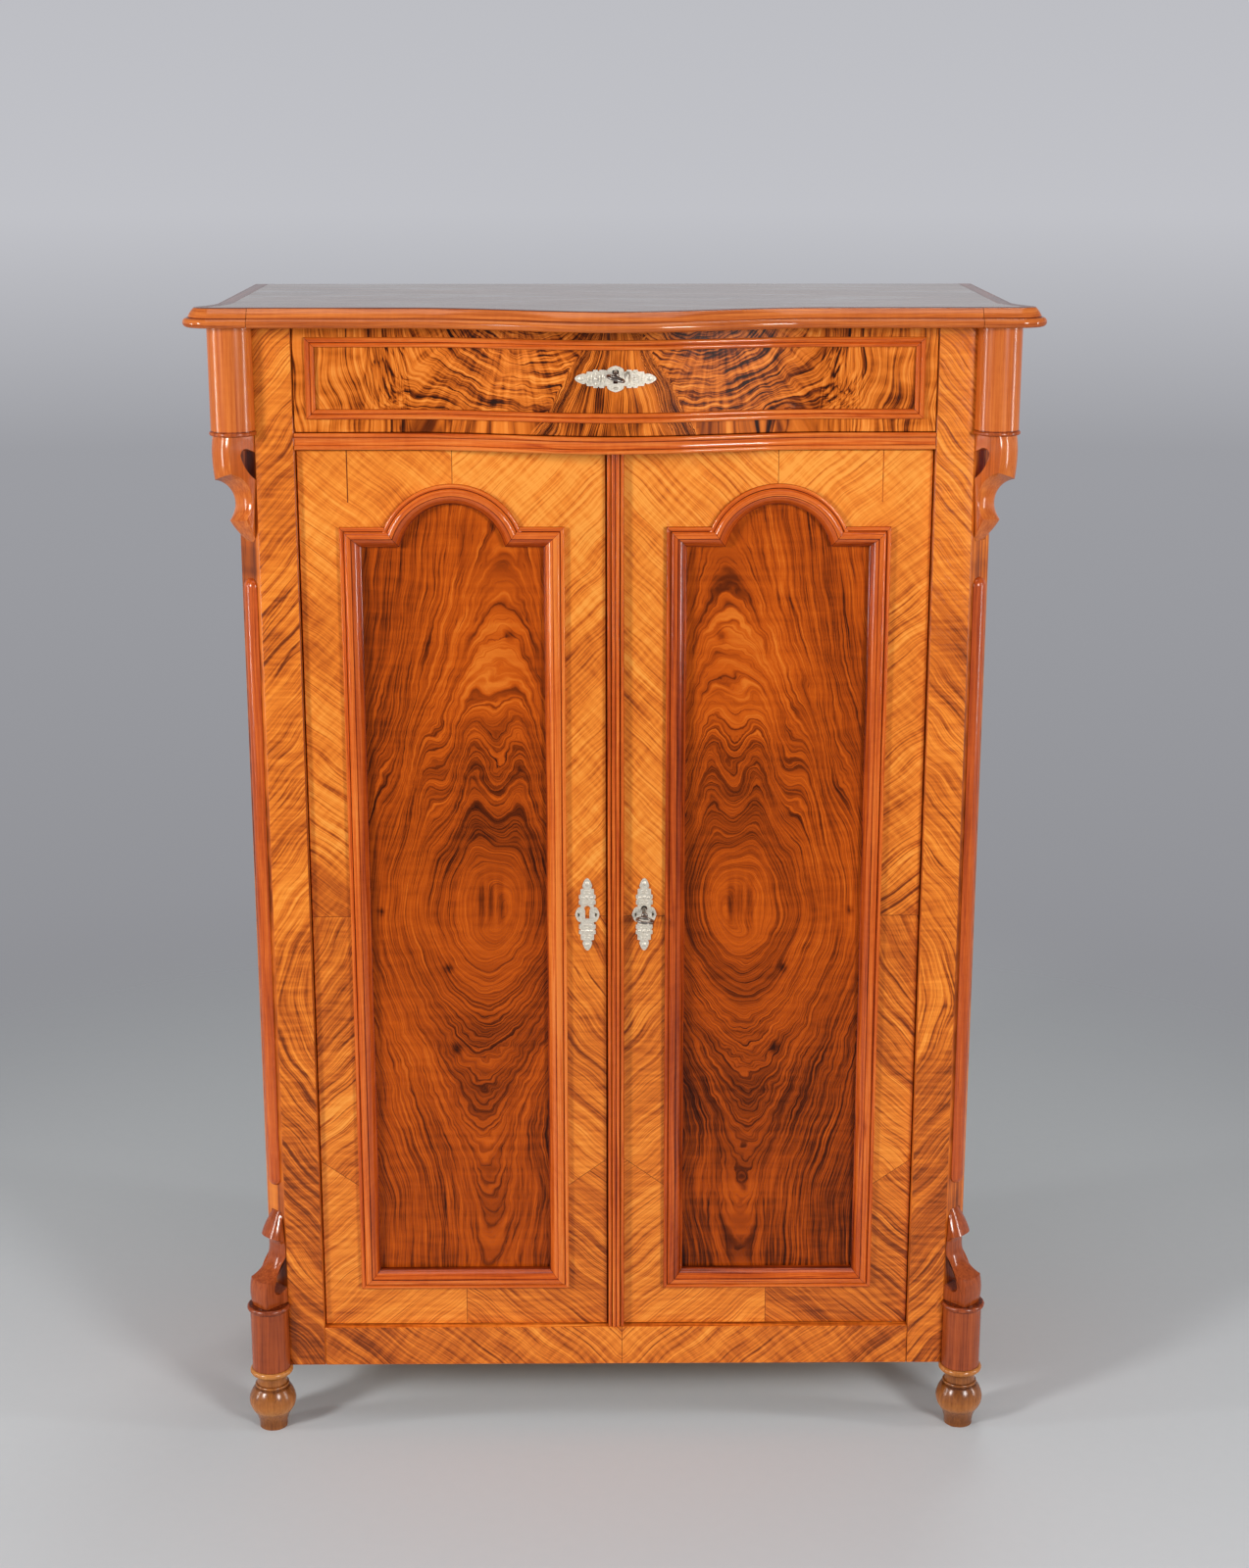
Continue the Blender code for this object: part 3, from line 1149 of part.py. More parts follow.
def build_door_lock(frame):
    """Lock let into the back of the right door: pocket, keyhole, plate and bolt."""
    edge = -STRIP_EDGE_X
    pocket = DOOR_BACK_Y - LOCK_POCKET_DEPTH
    far = edge + LOCK_WIDTH
    low = DOOR_KEY_Z + LOCK_RISE - LOCK_HEIGHT / 2
    high = low + LOCK_HEIGHT
    cut_box(frame, (edge - SEAT_GAP, pocket, low), (far, DOOR_BACK_Y + SEAT_GAP, high))
    outline = [(x + DOOR_PLATE_X, z) for x, z in keyhole_outline(DOOR_KEY_Z)]
    hole_front = DOOR_FRONT_Y - SEAT_GAP
    keyhole = front_prism("door_keyhole", [outline], hole_front, pocket + SEAT_GAP, None, 0)
    join(frame, keyhole, "DIFFERENCE")
    plate_front = DOOR_BACK_Y - LOCK_PLATE_THICKNESS
    edge_back = edge + LOCK_PLATE_THICKNESS
    section = [
        (edge, pocket + SEAT_GAP),
        (edge_back, pocket + SEAT_GAP),
        (edge_back, plate_front),
        (far - SEAT_GAP, plate_front),
        (far - SEAT_GAP, DOOR_BACK_Y),
        (edge, DOOR_BACK_Y),
    ]
    plate = plan_prism("door_lock_plate", [section], low + SEAT_GAP, high - SEAT_GAP, STEEL, 0)
    bolt_y = (pocket + plate_front) / 2
    half_depth = LOCK_BOLT_THICKNESS / 2
    bolt_low = DOOR_KEY_Z + KEY_BIT_REACH + LOCK_BIT_SPACE
    bolt_high = bolt_low + LOCK_BOLT_HEIGHT
    cut_box(
        plate,
        (edge - SEAT_GAP, bolt_y - half_depth - SEAT_GAP, bolt_low - SEAT_GAP),
        (edge + 2 * LOCK_PLATE_THICKNESS, bolt_y + half_depth + SEAT_GAP, bolt_high + SEAT_GAP),
    )
    bolt = board(
        "door_lock_bolt",
        (edge, bolt_y - half_depth, bolt_low),
        (edge + LOCK_BOLT_LENGTH, bolt_y + half_depth, bolt_high),
        STEEL,
        arris=0,
    )
    return plate, bolt


def cut_lock_mortise(frame):
    """Mortise in the left door's edge that takes the lock's bolt."""
    pocket = DOOR_BACK_Y - LOCK_POCKET_DEPTH
    bolt_y = (pocket + DOOR_BACK_Y - LOCK_PLATE_THICKNESS) / 2
    half_depth = LOCK_BOLT_THICKNESS / 2 + BOLT_PLAY
    bolt_low = DOOR_KEY_Z + KEY_BIT_REACH + LOCK_BIT_SPACE
    cut_box(
        frame,
        (LEFT_MEETING_X - LOCK_BOLT_THROW, bolt_y - half_depth, bolt_low - BOLT_PLAY),
        (LEFT_MEETING_X + SEAT_GAP, bolt_y + half_depth, bolt_low + LOCK_BOLT_HEIGHT + BOLT_PLAY),
    )


def build_flush_bolts(frame):
    """Two bolts let into the back of the left door, and the holes that they slide into."""
    centre_x = -DOOR_PLATE_X
    half = FLUSH_BOLT_WIDTH / 2
    back = DOOR_BACK_Y - SEAT_GAP
    front = back - FLUSH_BOLT_THICKNESS
    for word, end_z, way, keeper_name, keeper_z in (
        ("upper", DOOR_TOP_Z, 1, "dust_board", RAIL_TOP_Z - DUST_BOARD_THICKNESS),
        ("lower", DOOR_BOTTOM_Z, -1, "bottom_board", BOTTOM_RAIL_TOP_Z),
    ):
        near = end_z - way * SEAT_GAP
        far = near - way * FLUSH_BOLT_LENGTH
        bolt = board(
            word + "_flush_bolt",
            (centre_x - half, front, min(near, far)),
            (centre_x + half, back, max(near, far)),
            STEEL,
            arris=FLUSH_BOLT_ARRIS,
        )
        knob_z = far + way * FLUSH_BOLT_LENGTH / 5
        knob_place = Matrix.Translation((centre_x, back, knob_z)) @ Matrix.Rotation(-math.pi / 2, 4, "X")
        knob_profile = [(0.0, FLUSH_KNOB_HEIGHT), (0.8 * FLUSH_KNOB_RADIUS, FLUSH_KNOB_HEIGHT)]
        knob_profile += [(FLUSH_KNOB_RADIUS, 0.8 * FLUSH_KNOB_HEIGHT)]
        knob_profile += [(0.6 * FLUSH_KNOB_RADIUS, -FLUSH_KNOB_ROOT), (0.0, -FLUSH_KNOB_ROOT)]
        knob = turned(word + "_flush_bolt_knob", knob_profile, None, knob_place, steps=12)
        join(bolt, knob, "UNION")
        groove_far = far - way * SEAT_GAP
        groove_near = end_z + way * SEAT_GAP
        cut_box(
            frame,
            (centre_x - half - SEAT_GAP, front - SEAT_GAP, min(groove_far, groove_near)),
            (centre_x + half + SEAT_GAP, DOOR_BACK_Y + SEAT_GAP, max(groove_far, groove_near)),
        )
        hole_end = near + way * (FLUSH_BOLT_THROW + BOLT_PLAY)
        hole_mouth = keeper_z - way * SEAT_GAP
        cut_box(
            bpy.data.objects[keeper_name],
            (centre_x - half - BOLT_PLAY, front - BOLT_PLAY, min(hole_mouth, hole_end)),
            (centre_x + half + BOLT_PLAY, back + BOLT_PLAY, max(hole_mouth, hole_end)),
        )
        carry(joint_empty(word + "_flush_bolt_slide", (centre_x, front, near)), [bolt])


def build_doors():
    plate_y = DOOR_FRONT_Y - SEAT_GAP - PLATE_THICKNESS / 2
    for word, side in (("left", -1), ("right", 1)):
        frame, pieces = build_door_leaf(word, side)
        build_pivots(word, side)
        plate = keyhole_plate(
            word + "_door_keyhole_plate", (side * DOOR_PLATE_X, plate_y, DOOR_PLATE_Z)
        )
        pieces += [frame, plate]
        if side < 0:
            cut_lock_mortise(frame)
            build_flush_bolts(frame)
        else:
            lock_plate, bolt = build_door_lock(frame)
            strip = plan_prism("closing_strip", [strip_outline()], DOOR_BOTTOM_Z, DOOR_TOP_Z, MOULDING, 0)
            pieces += [lock_plate, strip]
            eye = Vector((DOOR_PLATE_X, plate_y - PLATE_THICKNESS / 2, DOOR_KEY_Z))
            inner = PLATE_THICKNESS + DOOR_THICKNESS - LOCK_PLATE_THICKNESS - KEY_END_SPACE
            key = build_key("door_key", eye, DOOR_KEY_ROLL, inner)
            carry(joint_empty("door_key_turn", eye), [key])
            carry(joint_empty("door_bolt_throw", bolt.location), [bolt])
        carry(joint_empty(word + "_door_hinge", (side * HINGE_X, HINGE_Y, DOOR_BOTTOM_Z)), pieces)


def build_cabinet():
    build_posts()
    build_sides()
    build_back()
    build_bottom()
    build_drawer_floor()
    build_shelves()
    build_top()
    for word, side in (("left", -1), ("right", 1)):
        build_columns(word, side)
        build_brackets(word, side)
        build_round_strip(word, side)
        build_feet(word, side)
    build_drawer()
    build_doors()


build_cabinet()
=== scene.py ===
"""Looks of the walnut vertiko: veneers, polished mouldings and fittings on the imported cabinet.

Metres, +Z up, front to -Y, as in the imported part. Veneers are drawn in the shader from a map named "grain",
which holds the distance across and along the grain, and from a corner value named "tone".
"""

import math

import bmesh
import bpy
from mathutils import Matrix, Vector


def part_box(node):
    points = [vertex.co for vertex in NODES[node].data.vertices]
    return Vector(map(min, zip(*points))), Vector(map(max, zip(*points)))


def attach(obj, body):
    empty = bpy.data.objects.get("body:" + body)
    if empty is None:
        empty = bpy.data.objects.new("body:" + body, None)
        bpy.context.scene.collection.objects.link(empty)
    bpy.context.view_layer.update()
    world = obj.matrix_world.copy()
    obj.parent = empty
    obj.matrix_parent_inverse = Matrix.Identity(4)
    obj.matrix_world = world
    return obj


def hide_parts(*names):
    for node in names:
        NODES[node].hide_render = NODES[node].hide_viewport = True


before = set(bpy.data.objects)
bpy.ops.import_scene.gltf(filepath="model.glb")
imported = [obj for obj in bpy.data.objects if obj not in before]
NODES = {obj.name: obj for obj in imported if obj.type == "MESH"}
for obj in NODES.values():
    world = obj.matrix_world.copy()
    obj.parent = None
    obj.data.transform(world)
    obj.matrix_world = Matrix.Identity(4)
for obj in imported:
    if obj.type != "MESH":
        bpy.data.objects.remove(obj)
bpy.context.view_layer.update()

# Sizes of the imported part, and of the finer forms that are only in the scene
POST_OUTER_X = 0.431
CHAMFER_X = 0.4440
CHAMFER_Y = -0.1255
CARCASE_BOTTOM = 0.0865
CARCASE_TOP_Z = 1.4472
SEAT_GAP = 0.0003
MERGE_DISTANCE = 0.000002
CUT_DISTANCE = 0.000001

TOP_THICKNESS = 0.0225
TOP_BOTTOM_Z = 1.4475
TOP_FRONT_Y = -0.1835
TOP_SIDE_X = 0.489
TOP_BACK_Y = 0.2455
TOP_SWELL = 0.062
TOP_EAR = 0.0207
EAR_RADIUS = 0.035
EAR_HOLLOW_RADIUS = 0.070
EDGING_WIDTH = 0.030
EDGING_BEAD_RADIUS = 0.0055
EDGING_SLOPE = 0.0075
ARRIS = 0.0008
QUIRK = 0.0006

SWELL_HALF_WIDTH = 0.250
SWELL_STEPS = 20
FINE_STATIONS = 120

DRAWER_SWELL = 0.042
DRAWER_FRONT_Y = -0.1365
DRAWER_HALF_WIDTH = 0.384
DRAWER_TOP_Z = 1.4465
DRAWER_BOTTOM_Z = 1.3215
DRAWER_MOULDING_END_MARGIN = 0.0148
DRAWER_MOULDING_TOP_MARGIN = 0.0125
DRAWER_MOULDING_BOTTOM_MARGIN = 0.0155
DRAWER_MOULDING_WIDTH = 0.012
DRAWER_MOULDING_LIFT = 0.0022
RAIL_HALF_WIDTH = 0.3847
RAIL_BOTTOM_Z = 1.300
RAIL_HEIGHT = 0.0205
RAIL_DEPTH = 0.040
RAIL_BEAD_RADIUS = 0.0028

DOOR_FRONT_Y = -0.1295
DOOR_TOP_Z = 1.2985
DOOR_BOTTOM_Z = 0.1418
DOOR_OUTER_X = 0.3835
DOOR_OUTER_MARGIN = 0.0490
DOOR_MEETING_MARGIN = 0.0515
DOOR_BOTTOM_MARGIN = 0.0535
DOOR_SHOULDER_MARGIN = 0.0925
ARCH_RADIUS = 0.0899
ARCH_RISE = 0.0525
MOULDING_WIDTH = 0.025
MOULDING_SEAT = 0.0135
MOULDING_HEIGHT = 0.011
PANEL_RECESS = 0.008
STRIP_EDGE_X = 0.0105
STRIP_THICKNESS = 0.012

UPPER_COLUMN_RADIUS = 0.0267
LOWER_COLUMN_RADIUS = 0.0250
COLUMN_AXIS = 0.0182
RING_RADIUS = 0.0288
UPPER_RING_HEIGHT = 0.0052
LOWER_RING_HEIGHT = 0.0075
UPPER_RING_Z = 1.3187
LOWER_RING_Z = 0.1780
BRACKET_WIDTH = 0.034
BRACKET_REACH = 0.036
BRACKET_BULGE = 0.0015
UPPER_BRACKET_REACHES = (BRACKET_REACH + 0.0050, 0.0110, 0.0200)  # at the block, the waist and the lip
LOWER_BRACKET_REACHES = (BRACKET_REACH + 0.0020, 0.0056, 0.0170)
BRACKET_SLICES = 16
BRACKET_CROWN = 0.0040  # how far the edges of the face lie behind its middle
BRACKET_NOTCH_RADIUS = 0.008
BRACKET_NOTCH_REACH = 0.0135
BRACKET_NOTCH_TOP = 0.0155
BRACKET_LEAN = 0.0105
UPPER_BRACKET_HEIGHTS = (0.0437, 0.0540, 0.0825, 0.1015, 0.1310)
LOWER_BRACKET_HEIGHTS = (0.0372, 0.0655, 0.0770, 0.0925, 0.1262)
BRACKET_TIP_TAPER = 0.45
STRIP_ROUND_WIDTH = 0.022
STRIP_ROUND_DEPTH = 0.008
STRIP_UPPER_SPACE = 0.045
STRIP_LOWER_SPACE = 0.0364

FOOT_DISC_RADIUS = 0.0275
FOOT_NECK_RADIUS = 0.0196
FOOT_BULB_RADIUS = 0.0307
FOOT_SOLE_RADIUS = 0.0185

PLATE_LENGTH = 0.096
PLATE_WIDTH = 0.031
PLATE_THICKNESS = 0.0016
PLATE_EYE_RISE = 0.008
KEYHOLE_RADIUS = 0.0038
KEYHOLE_SLOT = 0.0054
KEYHOLE_DROP = 0.0135
KEYHOLE_RIM = 0.0014
DOOR_PLATE_X = 0.036
DOOR_PLATE_Z = 0.7115
DRAWER_PLATE_Z = 1.389
KEY_RADIUS = 0.0025
KEY_STEM = 0.030
KEY_BOW_WIDTH = 0.023
KEY_BOW_LENGTH = 0.018
KEY_BOW_RADIUS = 0.0018
KEY_SAG = math.radians(6.0)
DOOR_KEY_ROLL = math.radians(-8.0)
DRAWER_KEY_ROLL = math.radians(-17.0)
KEY_INNER_LENGTH = 0.0224  # behind the plate
KEY_BIT_END = 0.001
KEY_BIT_REACH = 0.0095
KEY_BIT_HEIGHT = 0.0055
KEY_BIT_THICKNESS = 0.002
BOW_STEPS = 64
BOW_SIDES = 16

# Veneer layout, measured outwards from the middle of the cabinet
LEAF_JOINT_X = 0.197  # joint in the middle of each door's rails
MID_JOINT_Z = 0.709  # joint across the stiles
EYE_X = 0.159  # middle of the oval figure in each panel
EYE_Z = 0.712
JOINT_LINE = 0.0007  # width of the dark line at a veneer joint
MITRE_LINE = 0.0004  # half the width of the dark line at a mitre
MITRE_COSINE = 0.9  # a moulding's path turns a corner below this
MITRE_TONE = -0.45
CRACK_X = 0.3235  # crack in the top of the outer stile
CRACK_LOW_Z = 1.235
CRACK_WIDTH = 0.0014
RAIL_JOINT_X = 0.0076  # joint in the bottom rail
STILE_OUTER_X = 0.33  # a door's outer stile lies beyond this, and its inner one within the next
STILE_INNER_X = 0.066
OUTER_SLANT = (0.3375, 0.342, 0.71)  # slanted joint low in the outer stile: a point on it and its slope
INNER_SLANT = (0.058, 0.3427, -0.73)
LEAF_LEAN = math.radians(42)  # slope of the diagonal veneers
BEND_LENGTH = 0.26  # the grain of the lower stiles bends over this length and runs straight below it
POST_TURN_Z = 0.60  # the grain of the posts turns round here, over the next length
POST_TURN_LENGTH = 0.11
SEAM_TONE = -0.75
FAINT_SEAM_TONE = -0.6

# Soft spots in the figured veneers: change of tone, middle and radii
PANEL_SPOTS = (
    (0.22, (0.165, 1.05), (0.050, 0.070)),  # bright above the flames
    (0.07, (0.160, 0.71), (0.034, 0.060)),  # bright eye
    (-0.12, (0.165, 0.86), (0.060, 0.070)),  # dark flames
    (-0.42, (0.146, 0.725), (0.0040, 0.028)),  # three strokes in the eye
    (-0.42, (0.158, 0.725), (0.0040, 0.028)),
    (-0.42, (0.170, 0.725), (0.0040, 0.028)),
    (-0.06, (0.10, 0.285), (0.030, 0.028)),
    (-0.14, (0.085, 0.62), (0.030, 0.30)),  # dark side towards the middle of the cabinet
    (-0.10, (0.165, 0.55), (0.050, 0.030)),  # shade below the eye
    (-0.5, (0.130, 1.070), (0.0056, 0.007)),  # four knots
    (-0.5, (0.297, 0.713), (0.0040, 0.005)),
    (-0.5, (0.213, 0.637), (0.0048, 0.006)),
    (-0.5, (0.204, 0.527), (0.0056, 0.007)),
)
DRAWER_SPOTS = (
    (-0.16, (0.165, 1.44), (0.05, 0.03)),
    (-0.10, (0.15, 1.385), (0.03, 0.02)),
    (0.10, (0.085, 1.395), (0.025, 0.022)),
)

SIDES = (("left", -1), ("right", 1))
UPRIGHT = Matrix.Rotation(math.pi / 2, 4, "X")


# Drawing helpers


def arc(centre, radius, start, end, steps):
    """Points on a circle from one angle to another, in degrees."""
    angles = [math.radians(start + (end - start) * i / steps) for i in range(steps + 1)]
    return [(centre[0] + radius * math.cos(a), centre[1] + radius * math.sin(a)) for a in angles]


def arc_through(a, b, c, steps):
    """Points on the circle that runs from a through b to c."""
    (ax, ay), (bx, by), (cx, cy) = a, b, c
    turn = 2 * (ax * (by - cy) + bx * (cy - ay) + cx * (ay - by))
    a2, b2, c2 = ax * ax + ay * ay, bx * bx + by * by, cx * cx + cy * cy
    centre_x = (a2 * (by - cy) + b2 * (cy - ay) + c2 * (ay - by)) / turn
    centre_y = (a2 * (cx - bx) + b2 * (ax - cx) + c2 * (bx - ax)) / turn
    start = math.atan2(ay - centre_y, ax - centre_x)
    end = math.atan2(cy - centre_y, cx - centre_x)
    if turn > 0 and end < start:
        end += 2 * math.pi
    if turn < 0 and end > start:
        end -= 2 * math.pi
    radius = math.hypot(ax - centre_x, ay - centre_y)
    return arc((centre_x, centre_y), radius, math.degrees(start), math.degrees(end), steps)


def mirrored(points):
    """Points turned over to the other side of the middle."""
    return [(-x, y) for x, y in reversed(points)]


def swell(x):
    """Share of the serpentine front's full swell at x."""
    if abs(x) >= SWELL_HALF_WIDTH:
        return 0.0
    return (1 + math.cos(math.pi * x / SWELL_HALF_WIDTH)) / 2


def facet_swell(x):
    """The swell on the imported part's facets."""
    step = 2 * SWELL_HALF_WIDTH / SWELL_STEPS
    low = step * math.floor(x / step)
    share = (x - low) / step
    return swell(low) * (1 - share) + swell(low + step) * share


def front_line(half_width, y, depth):
    """Plan of a serpentine front from left to right, in fine steps."""
    xs = [half_width * (2 * i / FINE_STATIONS - 1) for i in range(FINE_STATIONS + 1)]
    return [(x, y - depth * swell(x)) for x in xs]


def smooth(x, low, high):
    """Eases from 0 at low to 1 at high."""
    t = min(1.0, max(0.0, (x - low) / (high - low)))
    return t * t * (3 - 2 * t)


def bump_at(x, z, centre, radius):
    """A soft round spot, one in its middle."""
    return math.exp(-(((x - centre[0]) / radius[0]) ** 2) - ((z - centre[1]) / radius[1]) ** 2)


def spots(x, z, rows):
    """Total of soft spots, from rows of weight, middle and radii."""
    return sum(weight * bump_at(x, z, middle, radii) for weight, middle, radii in rows)


def ripple(x, z, scale, seed):
    """A smooth irregular value between about -1 and 1."""
    return (
        math.sin(1.7 * x * scale + 2.3 * math.sin(0.9 * z * scale + seed))
        + math.sin(2.1 * z * scale + 1.9 * math.sin(1.3 * x * scale + 2 * seed))
        + math.sin(1.1 * (x + z) * scale + 3.1 * seed)
    ) / 3


# Mesh helpers


def store(shape, mesh, sharp):
    """Writes a shape into a mesh, smooth but for edges sharper than an angle in degrees."""
    shape.to_mesh(mesh)
    shape.free()
    mesh.shade_smooth()
    mesh.set_sharp_from_angle(angle=math.radians(sharp))


def finish_mesh(shape, name, sharp=32):
    """A new mesh of a shape."""
    mesh = bpy.data.meshes.new(name)
    store(shape, mesh, sharp)
    return mesh


def add_piece(mesh, body, material, nodes):
    """Shows a mesh that is already in place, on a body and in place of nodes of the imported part."""
    obj = bpy.data.objects.new(mesh.name, mesh)
    bpy.context.scene.collection.objects.link(obj)
    mesh.materials.clear()
    mesh.materials.append(material)
    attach(obj, body)
    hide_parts(*nodes)


def grid_mesh(
    name, rows, along, ring_closed=True, path_closed=False, sharp=32, tones=None, run=None, mitred=False
):
    """A skin over rows of points, with the grain running from row to row.

    tones holds a tone for each point of a row, and run gives the tone of a face from its middle.
    """
    shape = bmesh.new()
    grain = shape.loops.layers.uv.new("grain")
    tone = shape.loops.layers.float.new("tone")
    made = [[shape.verts.new(point) for point in row] for row in rows]
    ring = len(rows[0])
    tones = tones or [0.0] * ring
    across = [0.0]
    for j in range(ring):
        across.append(across[-1] + (rows[0][(j + 1) % ring] - rows[0][j]).length)
    last = len(rows) if path_closed else len(rows) - 1
    for i in range(last):
        nxt = (i + 1) % len(rows)
        for j in range(ring if ring_closed else ring - 1):
            k = (j + 1) % ring
            face = shape.faces.new((made[i][j], made[i][k], made[nxt][k], made[nxt][j]))
            shade = run(face.calc_center_median()) if run else 0.0
            if mitred and 0 < (rows[nxt][j] - rows[i][j]).length < 1.5 * MITRE_LINE:
                shade += MITRE_TONE
            ends = (along[i], along[i], along[i + 1], along[i + 1])
            sides = (across[j], across[j + 1], across[j + 1], across[j])
            shades = (tones[j], tones[k], tones[k], tones[j])
            for loop, u, v, t in zip(face.loops, sides, ends, shades):
                loop[grain].uv = (u, v)
                loop[tone] = shade + t
    if not path_closed:
        for i in (0, len(rows) - 1):
            face = shape.faces.new(made[i])
            for loop in face.loops:
                loop[grain].uv = (loop.vert.co.x + loop.vert.co.y, loop.vert.co.z)
    bmesh.ops.remove_doubles(shape, verts=shape.verts, dist=MERGE_DISTANCE)
    bmesh.ops.recalc_face_normals(shape, faces=shape.faces)
    return finish_mesh(shape, name, sharp)


def sweep_mesh(name, path, profile, place, closed=False, start=0.0, tones=None, run=None):
    """A moulding: a profile carried along a flat path with true mitres, x to the path's left and y up."""
    rows = []
    along = [start]
    count = len(path)
    for i in range(count):
        here = Vector(path[i])
        runs = []
        for a, b in ((i - 1, i), (i, i + 1)):
            if closed or (a >= 0 and b < count):
                runs.append((Vector(path[b % count]) - Vector(path[a % count])).normalized())
        normals = [Vector((-way.y, way.x)) for way in runs]
        bisector = sum(normals, Vector((0, 0))).normalized()
        shift = bisector / bisector.dot(normals[0])
        offsets = [Vector((0, 0))]
        if runs[0].dot(runs[-1]) < MITRE_COSINE:
            offsets = [runs[0] * -MITRE_LINE, Vector((0, 0)), runs[-1] * MITRE_LINE]
        for offset in offsets:
            rows.append([place @ Vector((*(here + offset + shift * x), y)) for x, y in profile])
            along.append(along[-1] + MITRE_LINE)
        along[-1] += (Vector(path[(i + 1) % count]) - here).length
    return grid_mesh(name, rows, along, path_closed=closed, tones=tones, run=run, mitred=True)


def turned_mesh(name, profile, place, steps=72, sharp=40, tones=None):
    """A shape turned about its own Z axis from a profile of radius and height."""
    rows = []
    for i in range(steps):
        angle = 2 * math.pi * i / steps
        turn = place @ Matrix.Rotation(angle, 4, "Z")
        rows.append([turn @ Vector((radius, 0.0, height)) for radius, height in profile])
    along = [0.08 * i / steps for i in range(steps + 1)]
    return grid_mesh(name, rows, along, ring_closed=False, path_closed=True, sharp=sharp, tones=tones)


def join_rings(shape, low, high):
    """Adds the faces between two rings of vertices."""
    for i in range(len(low)):
        k = (i + 1) % len(low)
        shape.faces.new((low[i], low[k], high[k], high[i]))


def flat_outline(shape, outline, place, depth):
    """Adds an outline with a thickness about its own plane."""
    low = [shape.verts.new(place @ Vector((x, y, -depth / 2))) for x, y in outline]
    high = [shape.verts.new(place @ Vector((x, y, depth / 2))) for x, y in outline]
    shape.faces.new(low)
    shape.faces.new(high)
    join_rings(shape, low, high)


def keep_outside(mesh, place, keep):
    """Cuts a mesh along a plane and closes it, keeping the side that the plane's normal points to."""
    shape = bmesh.new()
    shape.from_mesh(mesh)
    normal = place.to_3x3() @ Vector((1, 0, 0))
    point = place @ Vector((keep, 0, 0))
    everything = shape.verts[:] + shape.edges[:] + shape.faces[:]
    cut = bmesh.ops.bisect_plane(
        shape, geom=everything, dist=CUT_DISTANCE, plane_co=point, plane_no=normal, clear_inner=True
    )["geom_cut"]
    rim = [e for e in cut if isinstance(e, bmesh.types.BMEdge)]
    bmesh.ops.holes_fill(shape, edges=rim)
    bmesh.ops.recalc_face_normals(shape, faces=shape.faces)
    shape.to_mesh(mesh)
    shape.free()
    mesh.set_sharp_from_angle(angle=math.radians(40))


def slice_at(shape, point, normal, inside=None):
    """Cuts the faces that a plane crosses, or only those whose middle passes a test."""
    faces = [f for f in shape.faces if inside is None or inside(f.calc_center_median())]
    geom = list({v for f in faces for v in f.verts}) + list({e for f in faces for e in f.edges}) + faces
    bmesh.ops.bisect_plane(shape, geom=geom, dist=CUT_DISTANCE, plane_co=point, plane_no=normal)


def veneer(node, name, step, leaf, joints=(), swollen=False):
    """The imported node's shape on a fine lattice, with the grain map and tone of its veneer leaves."""
    shape = bmesh.new()
    shape.from_mesh(NODES[node].data)
    for layer in list(shape.loops.layers.uv):
        shape.loops.layers.uv.remove(layer)
    bmesh.ops.remove_doubles(shape, verts=shape.verts, dist=MERGE_DISTANCE)
    bmesh.ops.dissolve_limit(
        shape, angle_limit=math.radians(0.05), verts=shape.verts, edges=shape.edges, delimit={"NORMAL"}
    )
    low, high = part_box(node)
    for axis in (0, 2):
        count = max(1, round((high[axis] - low[axis]) / step))
        normal = Vector((axis == 0, 0, axis == 2))
        for i in range(1, count):
            point = Vector((0, 0, 0))
            point[axis] = low[axis] + (high[axis] - low[axis]) * i / count
            slice_at(shape, point, normal)
    for point, normal, inside, width in joints:
        for side in (-0.5, 0.5):
            slice_at(shape, Vector(point) + Vector(normal) * side * width, normal, inside)
    if swollen:
        for vertex in shape.verts:
            vertex.co.y -= DRAWER_SWELL * (swell(vertex.co.x) - facet_swell(vertex.co.x))
        shape.normal_update()
    grain = shape.loops.layers.uv.new("grain")
    tone = shape.loops.layers.float.new("tone")
    for face in shape.faces:
        centre = face.calc_center_median()
        for loop in face.loops:
            across, along, shade = leaf(loop.vert.co, centre, face.normal)
            loop[grain].uv = (across, along)
            loop[tone] = shade
    return finish_mesh(shape, name, sharp=25)


# Shader helpers


